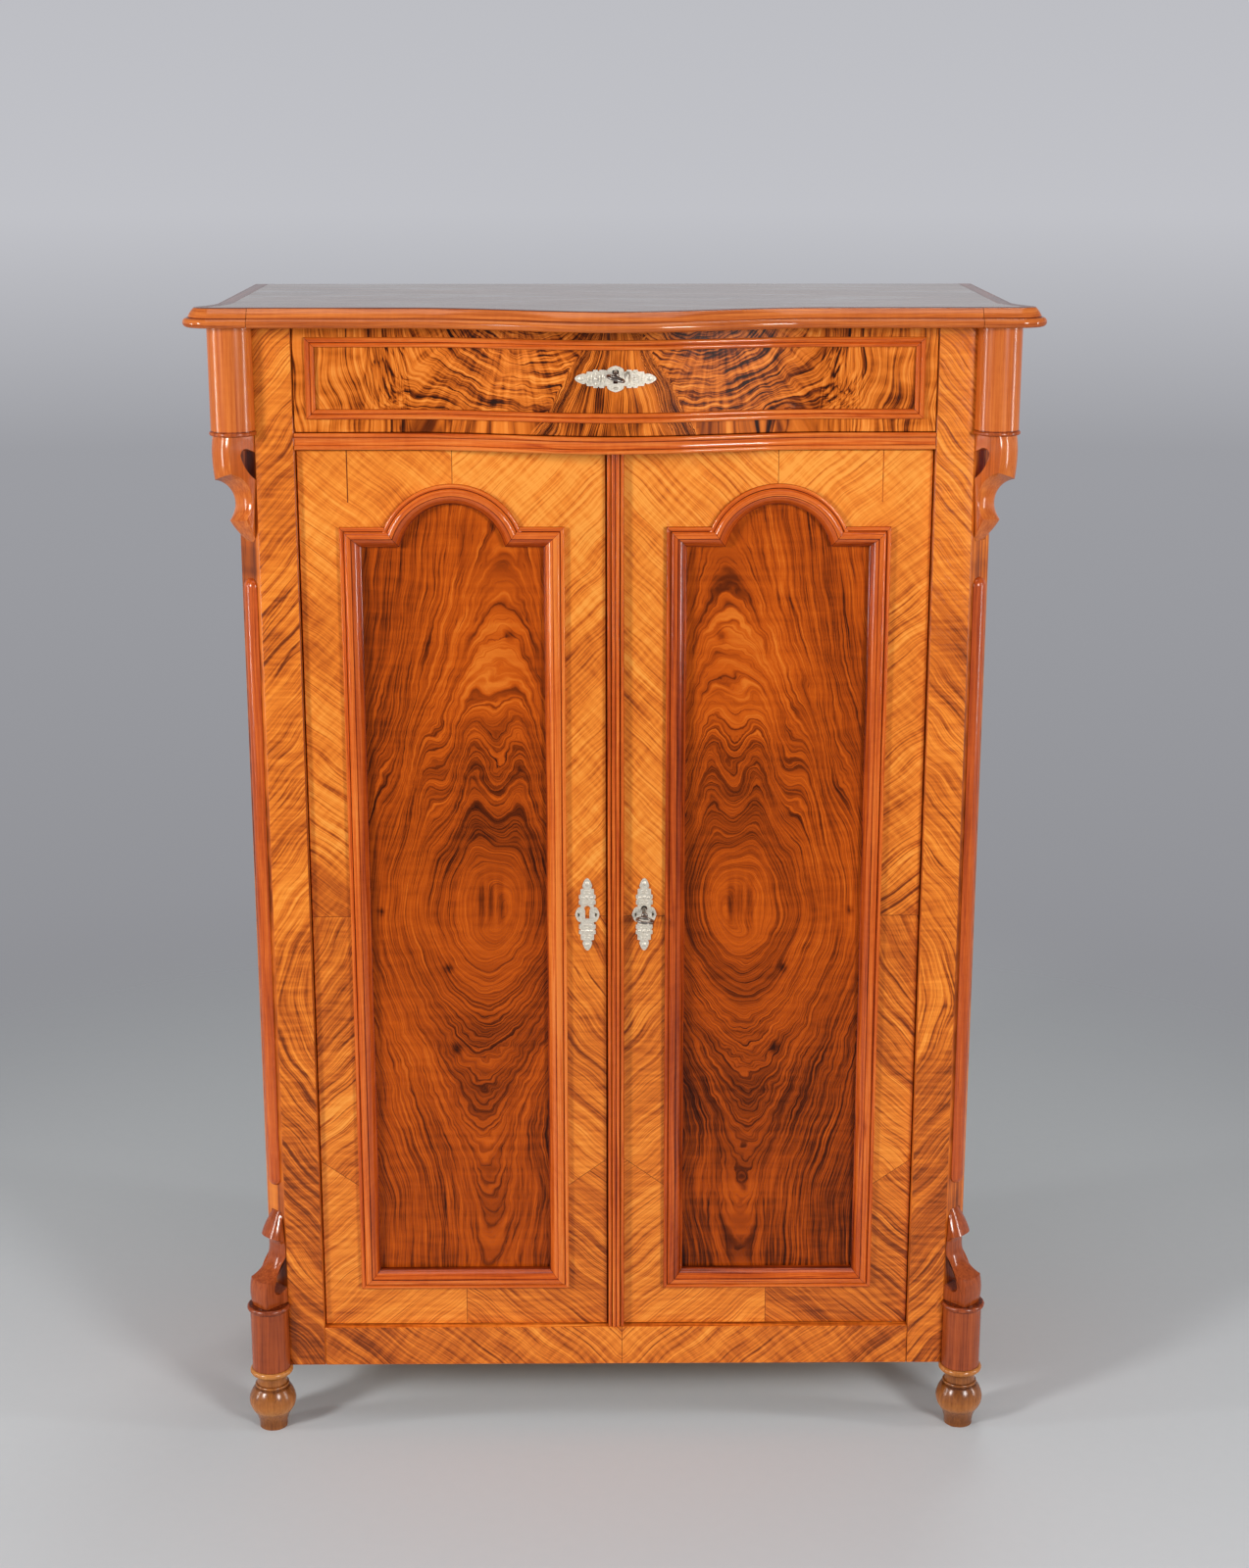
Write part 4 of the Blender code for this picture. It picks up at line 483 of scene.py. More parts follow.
class Wiring:
    """Adds nodes to a tree and links them."""

    def __init__(self, tree):
        self.tree = tree

    def add(self, kind, **settings):
        made = self.tree.nodes.new(kind)
        for key, value in settings.items():
            setattr(made, key, value)
        return made

    def put(self, socket, value):
        if isinstance(value, bpy.types.NodeSocket):
            self.tree.links.new(value, socket)
        else:
            socket.default_value = value

    def math(self, operation, *values, clamp=False):
        made = self.add("ShaderNodeMath", operation=operation, use_clamp=clamp)
        for socket, value in zip(made.inputs, values):
            self.put(socket, value)
        return made.outputs[0]

    def total(self, *values):
        result = values[0]
        for value in values[1:]:
            result = self.math("ADD", result, value)
        return result

    def times(self, a, b):
        return self.math("MULTIPLY", a, b)

    def weighted(self, base, *pairs):
        """A base value plus other values, each times its weight."""
        return self.total(base, *(self.times(value, weight) for value, weight in pairs))

    def scaled(self, parts, factors):
        """A vector of values, each times its own factor."""
        made = self.add("ShaderNodeCombineXYZ")
        for socket, part, factor in zip(made.inputs, parts, factors):
            self.put(socket, self.times(part, factor))
        return made.outputs[0]

    def noise(self, vector, detail=2.0, roughness=0.5):
        """Noise centred on zero, between about -0.5 and 0.5."""
        made = self.add("ShaderNodeTexNoise")
        self.put(made.inputs["Vector"], vector)
        for socket, value in (("Scale", 1.0), ("Detail", detail), ("Roughness", roughness)):
            made.inputs[socket].default_value = value
        return self.math("SUBTRACT", made.outputs[0], 0.5)

    def ramp(self, factor, stops):
        made = self.add("ShaderNodeValToRGB")
        band = made.color_ramp
        while len(band.elements) < len(stops):
            band.elements.new(0.5)
        for element, (place, colour) in zip(band.elements, stops):
            element.position = place
            element.color = (*colour, 1.0)
        self.put(made.inputs[0], factor)
        return made.outputs[0]

    def range(self, value, low, high, out_low=0.0, out_high=1.0, kind="LINEAR"):
        made = self.add("ShaderNodeMapRange", interpolation_type=kind)
        for socket, number in zip(made.inputs, (value, low, high, out_low, out_high)):
            self.put(socket, number)
        return made.outputs[0]

    def multiplied(self, a, b):
        """The product of two colours."""
        made = self.add("ShaderNodeMix", data_type="RGBA", blend_type="MULTIPLY")
        self.put(made.inputs[0], 1.0)
        self.put(made.inputs[6], a)
        self.put(made.inputs[7], b)
        return made.outputs[2]


class Shader(Wiring):
    """A new material and its wiring."""

    def __init__(self, name, roughness=0.3, metallic=0.0, coat=0.0, coat_roughness=0.08, specular=0.5):
        self.material = bpy.data.materials.new(name)
        self.material.use_nodes = True
        super().__init__(self.material.node_tree)
        self.surface = self.tree.nodes["Principled BSDF"]
        self.surface.inputs["Roughness"].default_value = roughness
        self.surface.inputs["Metallic"].default_value = metallic
        self.surface.inputs["Coat Weight"].default_value = coat
        self.surface.inputs["Coat Roughness"].default_value = coat_roughness
        self.surface.inputs["Specular IOR Level"].default_value = specular

    def dress(self, colour, roughness, height, relief):
        """Gives the surface its colour, roughness and fine relief, and hands back the material."""
        bump = self.add("ShaderNodeBump")
        bump.inputs["Strength"].default_value = 1.0
        bump.inputs["Distance"].default_value = relief
        self.put(bump.inputs["Height"], height)
        self.put(self.surface.inputs["Normal"], bump.outputs[0])
        self.put(self.surface.inputs["Base Color"], colour)
        self.put(self.surface.inputs["Roughness"], roughness)
        return self.material

    def grain_map(self):
        """Distances across and along the grain, from the mesh's map."""
        made = self.add("ShaderNodeUVMap", uv_map="grain")
        parts = self.add("ShaderNodeSeparateXYZ")
        self.put(parts.inputs[0], made.outputs[0])
        return parts.outputs[0], parts.outputs[1]

    def place(self):
        """Place in the cabinet's own frame."""
        made = self.add("ShaderNodeTexCoord")
        parts = self.add("ShaderNodeSeparateXYZ")
        self.put(parts.inputs[0], made.outputs["Object"])
        return parts.outputs[0], parts.outputs[1], parts.outputs[2]

    def tone(self):
        return self.add("ShaderNodeAttribute", attribute_name="tone").outputs["Fac"]


def wood(shader, parts, stops, look, tone=None, scale=1.0):
    """Colour and height of wood from distances across, along and into its grain, in metres.

    look: weights of broad streaks, fine streaks, cross ripple, clouds, pores and dark lines.
    """
    across, along, depth = parts
    broad, fine, ripple_weight, cloud, pores, lines = look

    def at(a, b):
        """The place in cycles per metre across and along the grain."""
        return shader.scaled((across, along, depth), (a * scale, b * scale, a * scale))

    wander = shader.noise(at(9, 5), 1.0)
    across = shader.weighted(across, (wander, 0.008 / scale))
    busy = shader.range(shader.noise(at(14, 6), 1.0), -0.12, 0.12, 0.45, 1.4)
    streak = shader.times(shader.noise(at(175, 3.6), 3.0, 0.6), busy)
    line = shader.noise(at(430, 8), 3.0, 0.65)
    band = shader.noise(at(30, 130), 2.0)
    spread = shader.noise(at(12, 4), 2.0)
    pore = shader.range(shader.noise(at(1500, 36), 2.0, 0.6), 0.08, 0.24)
    ridge = shader.math("ABSOLUTE", shader.noise(at(110, 2.6), 1.0))
    mask = shader.range(spread, -0.10, 0.12)
    thin = shader.times(shader.range(ridge, 0.0, 0.032, 1.0, 0.0), mask)
    weights = ((streak, broad), (line, fine), (band, ripple_weight), (spread, cloud), (thin, -lines))
    value = shader.weighted(0.56, *weights)
    if tone is not None:
        value = shader.total(value, tone)
    value = shader.math("SUBTRACT", value, shader.times(pore, pores), clamp=True)
    colour = shader.ramp(value, stops)
    height = shader.math("SUBTRACT", shader.times(line, 0.5), pore)
    return colour, height


def wood_material(shader, parts, stops, look, tone, roughness, scale=1.0):
    """A finished wood, with its roughness between two values."""
    colour, height = wood(shader, parts, stops, look, tone, scale)
    low, high = roughness
    return shader.dress(colour, shader.range(height, -1.0, 0.3, high, low), height, PORE_DEPTH)


PORE_DEPTH = 0.00005
NICKEL_RELIEF = 0.00015
STEEL_RELIEF = 0.0001

FRAME_STOPS = (
    (0.0, (0.170, 0.030, 0.0030)),
    (0.28, (0.480, 0.098, 0.0090)),
    (0.54, (0.730, 0.188, 0.0180)),
    (0.78, (0.880, 0.275, 0.0320)),
    (1.0, (0.950, 0.370, 0.0600)),
)
PANEL_STOPS = (
    (0.0, (0.030, 0.0045, 0.0006)),
    (0.24, (0.130, 0.0190, 0.0014)),
    (0.50, (0.370, 0.0560, 0.0030)),
    (0.74, (0.560, 0.0980, 0.0055)),
    (1.0, (0.720, 0.1800, 0.0180)),
)
DRAWER_STOPS = (
    (0.0, (0.022, 0.0045, 0.0010)),
    (0.22, (0.180, 0.0300, 0.0026)),
    (0.46, (0.560, 0.1250, 0.0110)),
    (0.72, (0.800, 0.2200, 0.0260)),
    (1.0, (0.920, 0.3300, 0.0600)),
)
MOULDING_STOPS = (
    (0.0, (0.060, 0.0070, 0.0010)),
    (0.30, (0.270, 0.0330, 0.0035)),
    (0.58, (0.520, 0.0840, 0.0080)),
    (0.80, (0.700, 0.1450, 0.0170)),
    (1.0, (0.800, 0.2200, 0.0360)),
)
COLUMN_STOPS = (
    (0.0, (0.120, 0.0170, 0.0025)),
    (0.33, (0.380, 0.0680, 0.0080)),
    (0.60, (0.540, 0.1150, 0.0140)),
    (1.0, (0.760, 0.2150, 0.0360)),
)
EDGING_STOPS = (
    (0.0, (0.120, 0.0180, 0.0040)),
    (0.35, (0.330, 0.0640, 0.0110)),
    (0.62, (0.500, 0.1150, 0.0190)),
    (1.0, (0.720, 0.2100, 0.0420)),
)
# Darker copy of the column's stops for the lower columns and brackets: painted shade where the light falls
# off towards the floor.
LOW_SHADED_STOPS = (
    (0.0, (0.075, 0.0100, 0.0020)),
    (0.35, (0.230, 0.0380, 0.0060)),
    (0.62, (0.380, 0.0720, 0.0120)),
    (1.0, (0.560, 0.1350, 0.0280)),
)
FOOT_STOPS = (
    (0.0, (0.080, 0.0200, 0.0040)),
    (0.36, (0.250, 0.0760, 0.0130)),
    (0.64, (0.430, 0.1450, 0.0270)),
    (1.0, (0.640, 0.2700, 0.0650)),
)
TOP_STOPS = (
    (0.0, (0.080, 0.048, 0.033)),
    (0.40, (0.220, 0.138, 0.094)),
    (0.65, (0.325, 0.220, 0.158)),
    (1.0, (0.450, 0.335, 0.260)),
)
SIDE_STOPS = (
    (0.0, (0.110, 0.018, 0.002)),
    (0.35, (0.330, 0.070, 0.007)),
    (0.60, (0.520, 0.130, 0.014)),
    (1.0, (0.720, 0.225, 0.035)),
)
PINE_STOPS = (
    (0.0, (0.210, 0.098, 0.032)),
    (0.35, (0.430, 0.235, 0.090)),
    (0.65, (0.560, 0.340, 0.150)),
    (1.0, (0.680, 0.460, 0.240)),
)
NICKEL_STOPS = (
    (0.0, (0.24, 0.21, 0.16)),
    (0.4, (0.66, 0.61, 0.51)),
    (0.7, (0.86, 0.81, 0.71)),
    (1.0, (0.93, 0.90, 0.82)),
)
STEEL_STOPS = ((0.0, (0.050, 0.044, 0.038)), (0.55, (0.24, 0.22, 0.20)), (1.0, (0.52, 0.50, 0.47)))
WEAR_STOPS = ((0.25, (0.80, 0.62, 0.50)), (0.75, (1.0, 1.0, 1.0)))


def figured_veneer(name, stops, rings, look, contrast, dark):
    """Veneer with growth rings that follow the map's first number."""
    shader = Shader(name, specular=0.14)
    across, along = shader.grain_map()

    def at(a, b):
        return shader.scaled((across, along), (a, b))

    wide = shader.noise(at(rings, 4.0), 3.0, 0.65)
    close = shader.noise(at(2.8 * rings, 9.0), 2.0, 0.6)
    ridge = shader.math("ABSOLUTE", shader.noise(at(1.25 * rings, 3.0), 1.0))
    fine_ridge = shader.math("ABSOLUTE", shader.noise(at(3.1 * rings, 8.0), 1.0))
    mask = shader.range(shader.noise(at(0.3 * rings, 12.0), 1.0), -0.14, 0.10, 0.05, 1.0)
    lines = shader.times(shader.range(ridge, 0.0, 0.050, 1.0, 0.0), mask)
    fine_lines = shader.range(fine_ridge, 0.0, 0.060, 1.0, 0.0)
    weights = ((close, contrast), (lines, -0.85 * dark), (fine_lines, -0.6 * dark))
    figure = shader.weighted(shader.times(wide, 0.6 * contrast), *weights)
    heart = shader.range(across, 0.015, 0.055, 0.15, 1.0)
    extra = shader.weighted(shader.tone(), (figure, heart))
    return wood_material(shader, (across, along, 0.0), stops, look, extra, (0.24, 0.38))


def mapped_wood(name, stops, look, roughness=(0.24, 0.36), coat=0.8, specular=0.0):
    """Polished wood with its grain along the mesh's map."""
    shader = Shader(name, coat=coat, coat_roughness=0.12, specular=specular)
    across, along = shader.grain_map()
    return wood_material(shader, (across, along, 0.0), stops, look, shader.tone(), roughness)


def solid_wood(name, stops, look, axis, gloss=None, roughness=(0.24, 0.36), scale=1.0, shift=0.0):
    """Solid timber, with its grain along one axis of the cabinet and a polish of the given roughness."""
    if gloss is None:
        shader = Shader(name, specular=0.3)
    else:
        shader = Shader(name, coat=1.0, coat_roughness=gloss, specular=0.0)
    x, y, z = shader.place()
    across, along, depth = ((y, x, z), (x, y, z), (x, z, y))[axis]
    parts = (shader.total(across, shift), along, depth)
    return wood_material(shader, parts, stops, look, shader.tone(), roughness, scale)


def worn_top():
    """The top: dull, darkened walnut with patches where the polish is worn."""
    shader = Shader("worn_walnut_top", coat=1.0, coat_roughness=0.16)
    x, y, z = shader.place()
    colour, height = wood(shader, (y, x, z), TOP_STOPS, MOULDING_LOOK)
    patch = shader.noise(shader.scaled((x, y), (5, 16)), 4.0, 0.6)
    fleck = shader.noise(shader.scaled((x, y), (30, 90)), 3.0)
    wear = shader.weighted(0.5, (patch, 1.5), (fleck, 0.5))
    colour = shader.multiplied(colour, shader.ramp(wear, WEAR_STOPS))
    return shader.dress(colour, shader.range(wear, 0.2, 0.8, 0.46, 0.20), height, PORE_DEPTH)


def nickel_plate():
    """Stamped nickel silver, mottled with spots and fine flecks."""
    shader = Shader("nickel_silver_plate", metallic=0.8)
    place = shader.place()
    spot = shader.noise(shader.scaled(place, (420, 420, 420)), 3.0)
    fine = shader.noise(shader.scaled(place, (1700, 1700, 1700)), 2.0)
    value = shader.weighted(0.55, (spot, 0.9), (fine, 0.7))
    colour = shader.ramp(value, NICKEL_STOPS)
    return shader.dress(colour, shader.range(value, 0.2, 0.9, 0.62, 0.46), value, NICKEL_RELIEF)


def key_steel():
    """Dark, mottled steel with fine scratches."""
    shader = Shader("dark_key_steel", roughness=0.32, metallic=1.0)
    place = shader.place()
    mottle = shader.noise(shader.scaled(place, (300, 300, 300)), 3.0)
    scratch = shader.noise(shader.scaled(place, (900, 120, 900)), 2.0)
    value = shader.weighted(0.5, (mottle, 1.0), (scratch, 0.5))
    colour = shader.ramp(value, STEEL_STOPS)
    return shader.dress(colour, shader.range(value, 0.2, 0.9, 0.45, 0.24), value, STEEL_RELIEF)


FRAME_LOOK = (1.35, 1.25, 0.65, 0.95, 0.25, 0.50)
PANEL_LOOK = (0.45, 0.75, 0.30, 0.50, 0.30, 0.0)
DRAWER_LOOK = (0.50, 0.75, 0.90, 0.50, 0.30, 0.0)
MOULDING_LOOK = (0.90, 0.90, 0.15, 0.60, 0.22, 0.30)
COLUMN_LOOK = (0.60, 0.80, 0.10, 0.50, 0.22, 0.15)
FOOT_LOOK = (0.30, 0.55, 0.0, 0.60, 0.15, 0.12)
PINE_LOOK = (0.70, 0.40, 0.0, 0.35, 0.05, 0.20)

FRAME_VENEER = mapped_wood(
    "diagonal_walnut_veneer_polish", FRAME_STOPS, FRAME_LOOK, (0.26, 0.40), coat=0.0, specular=0.3
)
PANEL_VENEER = figured_veneer("figured_walnut_panel", PANEL_STOPS, 165, PANEL_LOOK, 0.74, 0.33)
DRAWER_VENEER = figured_veneer("figured_walnut_drawer", DRAWER_STOPS, 80, DRAWER_LOOK, 1.45, 0.55)
MOULDING_WOOD = mapped_wood("polished_walnut_moulding", MOULDING_STOPS, MOULDING_LOOK)
EDGING_WOOD = mapped_wood("polished_walnut_edging", EDGING_STOPS, MOULDING_LOOK)
COLUMN_WOOD = solid_wood("polished_walnut_column", COLUMN_STOPS, COLUMN_LOOK, 2, 0.19)
# Lower columns: the column's walnut in the darker stops, painted shade near the floor.
LOW_COLUMN_SHADED_WOOD = solid_wood("walnut_column_painted_low_shade", LOW_SHADED_STOPS, COLUMN_LOOK, 2, 0.26, shift=0.4)
BRACKET_WOOD = solid_wood("polished_walnut_bracket", COLUMN_STOPS, COLUMN_LOOK, 2, 0.14, shift=0.3)
# Lower brackets: the bracket's walnut in the darker stops, painted shade near the floor.
LOW_BRACKET_SHADED_WOOD = solid_wood("walnut_bracket_painted_low_shade", LOW_SHADED_STOPS, COLUMN_LOOK, 2, 0.14, shift=0.9)
STRIP_WOOD = solid_wood("polished_walnut_strip", MOULDING_STOPS, COLUMN_LOOK, 2, 0.20, shift=0.7)
FOOT_WOOD = solid_wood("turned_walnut_foot", FOOT_STOPS, FOOT_LOOK, 2, 0.22)
TOP_WOOD = worn_top()
SIDE_WOOD = solid_wood("walnut_side", SIDE_STOPS, COLUMN_LOOK, 2, None, (0.32, 0.46))
PINE_ACROSS, PINE_DEEP, PINE_UPRIGHT = (
    solid_wood("pine_" + way, PINE_STOPS, PINE_LOOK, axis, None, (0.55, 0.70), 0.5)
    for axis, way in enumerate(("lying", "deep", "upright"))
)
NICKEL = nickel_plate()
STEEL = key_steel()


# Veneer leaves


def plain_sides(co, normal):
    """Grain of the faces that don't look forward: straight and upright, red-brown on a bevelled corner."""
    return co.x * 0.7 + co.y, co.z * 0.25, -0.26 if normal.y < -0.5 else -0.12


def diagonal(s, z):
    """Distances across and along a grain that rises outwards."""
    across = -s * math.sin(LEAF_LEAN) + z * math.cos(LEAF_LEAN)
    return across, s * math.cos(LEAF_LEAN) + z * math.sin(LEAF_LEAN)


def door_leaf(co, centre, normal):
    """Veneer of a door's frame: diagonal above the joint across the stiles, curved below it."""
    if normal.y > -0.5:
        return plain_sides(co, normal)
    s, z = abs(co.x), co.z
    middle_s, middle_z = abs(centre.x), centre.z
    right = centre.x > 0
    outer = middle_s > LEAF_JOINT_X
    way = 1.0 if outer else -1.0
    shift = (0.31 if outer else 0.0) + (0.07 if right else 0.0)
    if min(abs(middle_z - MID_JOINT_Z), abs(middle_s - LEAF_JOINT_X)) < 0.55 * JOINT_LINE:
        return s, z, SEAM_TONE
    if middle_z > CRACK_LOW_Z and abs(middle_s - CRACK_X) < 0.55 * CRACK_WIDTH:
        return s, z, -0.30 if right else -1.0
    if middle_z > MID_JOINT_Z:
        across, along = diagonal(way * s, z)
        across += 0.25 * (s - LEAF_JOINT_X) ** 2 * way + 0.0025 * ripple(s, z, 45, 1.0 + shift)
        # Brighter towards the top of the doors: painted sheen of the lamps. The inner leaves are a lighter
        # tone.
        shade = 0.04 + 0.20 * smooth(z, 1.10, 1.28) + (0.0 if outer else 0.14)
        shade += (0.09 if right else -0.02) * smooth(z, 1.15, 1.25) * way
        triangle = z - MID_JOINT_Z - 0.035 - 0.7 * abs(s - (0.335 if outer else 0.062))
        shade -= 0.20 * smooth(-triangle, -0.004, 0.010)
        return across + shift, along, shade
    drop = MID_JOINT_Z - z
    lead = min(drop, BEND_LENGTH)
    run = 0.42 * lead + 0.72 * lead * lead / (2 * BEND_LENGTH) + 1.14 * (drop - lead)
    across = (s - way * run + 0.004 * ripple(s, z, 38, 2.0 + shift)) * 0.75
    slant_s, slant_z, slope = OUTER_SLANT if outer else INNER_SLANT
    joint_z = slant_z + slope * (middle_s - slant_s)
    if abs(middle_z - joint_z) < 0.7 * JOINT_LINE:
        return s, z, FAINT_SEAM_TONE
    if middle_z < joint_z:
        shade = (0.14 if outer != right else -0.08) - (0.07 if right else 0.0)
        return across + shift + 0.87, z * 1.3 + 2, shade
    shade = -0.06 + 0.16 * smooth(drop, 0.14, 0.32) - (0.06 if outer else 0.0)
    return across + shift + 0.53, z * 1.3 + 2, shade


def post_leaf(co, centre, normal):
    """Veneer of a corner post, with a grain that turns round a little below its middle."""
    if normal.y > -0.9:
        return plain_sides(co, normal)
    s, z = abs(co.x), co.z
    turn = POST_TURN_LENGTH * math.log(math.cosh((z - POST_TURN_Z) / POST_TURN_LENGTH))
    across = (s + 0.85 * turn + 0.005 * ripple(s, z, 40, 1.0)) * 0.78
    # Darker from 0.9 m down to 0.3 m: painted shade of the light falling off towards the floor.
    shade = -0.02 + 0.05 * ripple(s, z, 14, 2.0) - 0.20 * smooth(-z, -0.9, -0.3)
    shade += 0.06 * smooth(z, 0.70, 0.95) if centre.x > 0 else 0.0
    shade -= 0.20 * bump_at(s, z, (0.425, 1.05), (0.030, 0.045))
    return across + (3.4 if centre.x > 0 else 3.1), z * 1.3, shade


def bottom_rail_leaf(co, centre, normal):
    """Diagonal veneer that mirrors at the joint near the middle."""
    if normal.y > -0.5:
        return co.z + co.y, co.x, -0.12
    if abs(centre.x - RAIL_JOINT_X) < 0.55 * JOINT_LINE:
        return co.x, co.z, FAINT_SEAM_TONE
    s = abs(co.x - RAIL_JOINT_X)
    across, along = diagonal(s, co.z)
    across += 0.15 * s * s + 0.003 * ripple(s, co.z, 40, 3.0)
    return across + 5.0, along, -0.15 if centre.x < RAIL_JOINT_X else -0.10


def panel_leaf(co, centre, normal):
    """Grain round an oval eye: upright lines at the outer edge, flames above the eye and a vee below it."""
    if normal.y > 0.5:
        return -0.7 * abs(co.x), co.z * 0.25, 0.04
    if normal.y > -0.5:
        return plain_sides(co, normal)
    s, z = abs(co.x), co.z
    right = centre.x > 0
    seed = 0.4 if right else 0.0
    away = smooth(abs(z - EYE_Z), 0.06, 0.20)
    flames = math.exp(-(((z - 0.90) / 0.10) ** 2))
    z2 = z - 0.024 * math.cos(2 * math.pi * (s - 0.117) / 0.062) * flames
    z2 += away * (0.007 * ripple(s, z, 55, 0.5 + seed) + 0.005 * ripple(s, z, 150, 1.5 + seed))
    z2 += (1 - away) * 0.004 * ripple(s, z, 90, 0.8 + seed)
    s2 = s + 0.0025 * ripple(s, z, 38, 2.5 + seed)
    drop = z2 - EYE_Z
    axis = EYE_X - 0.05 * (z - EYE_Z)
    if drop > 0:
        rise, power = 0.150 * math.tanh(drop / 0.25), 2.0
    else:
        rise, power = 0.150 * math.tanh(-drop / 0.20), 1.7
    aside = abs(s2 - axis) + 0.0005
    field = (aside**power + max(rise, 0.0005) ** power) ** (1 / power)
    upright = 0.010 + 0.5 * (s2 - axis) + 0.002 * ripple(s, z, 60, 3.5 + seed)
    eye = smooth(field, 0.016, 0.048)
    field = eye * field + (1 - eye) * upright
    field += 0.22 * smooth(-z, -0.46, -0.30) * (s2 - axis)
    shade = 0.06 - (0.21 if right else 0.04) * smooth(-z, -0.62, -0.45) + spots(s, z, PANEL_SPOTS)
    shade -= 0.10 * flames * (0.5 + 0.5 * math.sin(field / 0.0016))
    return field, z * 0.8 + (0.15 if right else 0.0), shade


def drawer_leaf(co, centre, normal):
    """Crotch figure: rays from above the lock, hanging curves beside them and upright streaks at the ends."""
    if normal.y > -0.2:
        return plain_sides(co, normal)
    s, z = abs(co.x), co.z
    right = centre.x > 0
    seed = 0.7 if right else 0.0
    z2 = z + 0.004 * ripple(s, z, 60, 0.3 + seed) + 0.002 * ripple(s, z, 170, 1.3 + seed)
    s2 = s + 0.004 * ripple(s, z, 45, 2.3 + seed)
    fan = s2 / max(0.02, 1.488 - z2)
    aside = abs(s2 - 0.0975) / 0.163
    depth = min(1.0, max(0.0, (1.477 - z2) / 0.129))
    power = 2.0 + 2.0 * smooth(aside, 0.6, 1.2)
    hammock = 0.163 * (aside**power + depth**power) ** (1 / power)
    share = smooth(fan, 0.40, 0.60)
    field = (1 - share) * (0.10 + 0.26 * fan) + share * (0.35 + 0.8 * hammock)
    angle = math.atan2(1.50 - z, s - 0.12)
    end = smooth(s, 0.24, 0.30)
    along = (1 - share) * 0.2 * z + share * ((1 - end) * 0.13 * angle + end * 0.4 * z)
    shade = 0.02 - 0.10 * smooth(-fan, -0.42, -0.30)
    shade -= 0.30 * math.exp(-(((fan - 0.50) / 0.045) ** 2))
    shade += spots(s, z, DRAWER_SPOTS) + 0.08 * smooth(s, 0.20, 0.34)
    return field, along + (0.13 if right else 0.0), shade


def outer_stile(point):
    return abs(point.x) > STILE_OUTER_X


def inner_stile(point):
    return abs(point.x) < STILE_INNER_X


def either_stile(point):
    return outer_stile(point) or inner_stile(point)


def above_crack_end(point):
    return point.z > CRACK_LOW_Z


def door_joints(side):
    """Cuts for the dark lines of a door's veneer: point, normal, test of the faces to cut, and width."""
    joints = [
        ((side * LEAF_JOINT_X, 0, 0), (1, 0, 0), None, JOINT_LINE),
        ((0, 0, MID_JOINT_Z), (0, 0, 1), either_stile, JOINT_LINE),
        ((side * CRACK_X, 0, 0), (1, 0, 0), above_crack_end, CRACK_WIDTH),
    ]
    for (s, z, slope), inside in ((OUTER_SLANT, outer_stile), (INNER_SLANT, inner_stile)):
        normal = Vector((-side * slope, 0, 1)).normalized()
        joints.append(((side * s, 0, z), normal, inside, JOINT_LINE))
    return joints


def build_veneers():
    """Finely cut meshes with a grain map, in place of the veneered nodes."""
    for word, side in SIDES:
        mesh = veneer(word + "_door_frame", word + "_door_veneer", 0.009, door_leaf, door_joints(side))
        add_piece(mesh, word + "_door", FRAME_VENEER, [word + "_door_frame"])
        mesh = veneer(word + "_door_panel", word + "_door_figured_panel", 0.004, panel_leaf)
        add_piece(mesh, word + "_door", PANEL_VENEER, [word + "_door_panel"])
        mesh = veneer(word + "_corner_post", word + "_post_veneer", 0.012, post_leaf)
        add_piece(mesh, "carcase", FRAME_VENEER, [word + "_corner_post"])
    joint = [((RAIL_JOINT_X, 0, 0), (1, 0, 0), None, JOINT_LINE)]
    mesh = veneer("bottom_rail", "bottom_rail_veneer", 0.012, bottom_rail_leaf, joint)
    add_piece(mesh, "carcase", FRAME_VENEER, ["bottom_rail"])
    mesh = veneer("drawer_front", "drawer_figured_front", 0.004, drawer_leaf, swollen=True)
    add_piece(mesh, "drawer", DRAWER_VENEER, ["drawer_front"])


# Mouldings


def opening_path(side):
    """Line of a door's moulding, round the arched opening."""
    inner = STRIP_EDGE_X + DOOR_MEETING_MARGIN + MOULDING_SEAT
    outer = DOOR_OUTER_X - DOOR_OUTER_MARGIN - MOULDING_SEAT
    sill = DOOR_BOTTOM_Z + DOOR_BOTTOM_MARGIN + MOULDING_SEAT
    shoulder = DOOR_TOP_Z - DOOR_SHOULDER_MARGIN - MOULDING_SEAT
    radius = ARCH_RADIUS - MOULDING_SEAT
    centre = ((inner + outer) / 2, shoulder + MOULDING_SEAT + ARCH_RISE - ARCH_RADIUS)
    spring = math.degrees(math.asin((shoulder - centre[1]) / radius))
    arch = arc(centre, radius, spring, 180 - spring, 56)
    path = [(inner, sill), (outer, sill), (outer, shoulder)] + arch + [(inner, shoulder)]
    return path if side > 0 else mirrored(path)


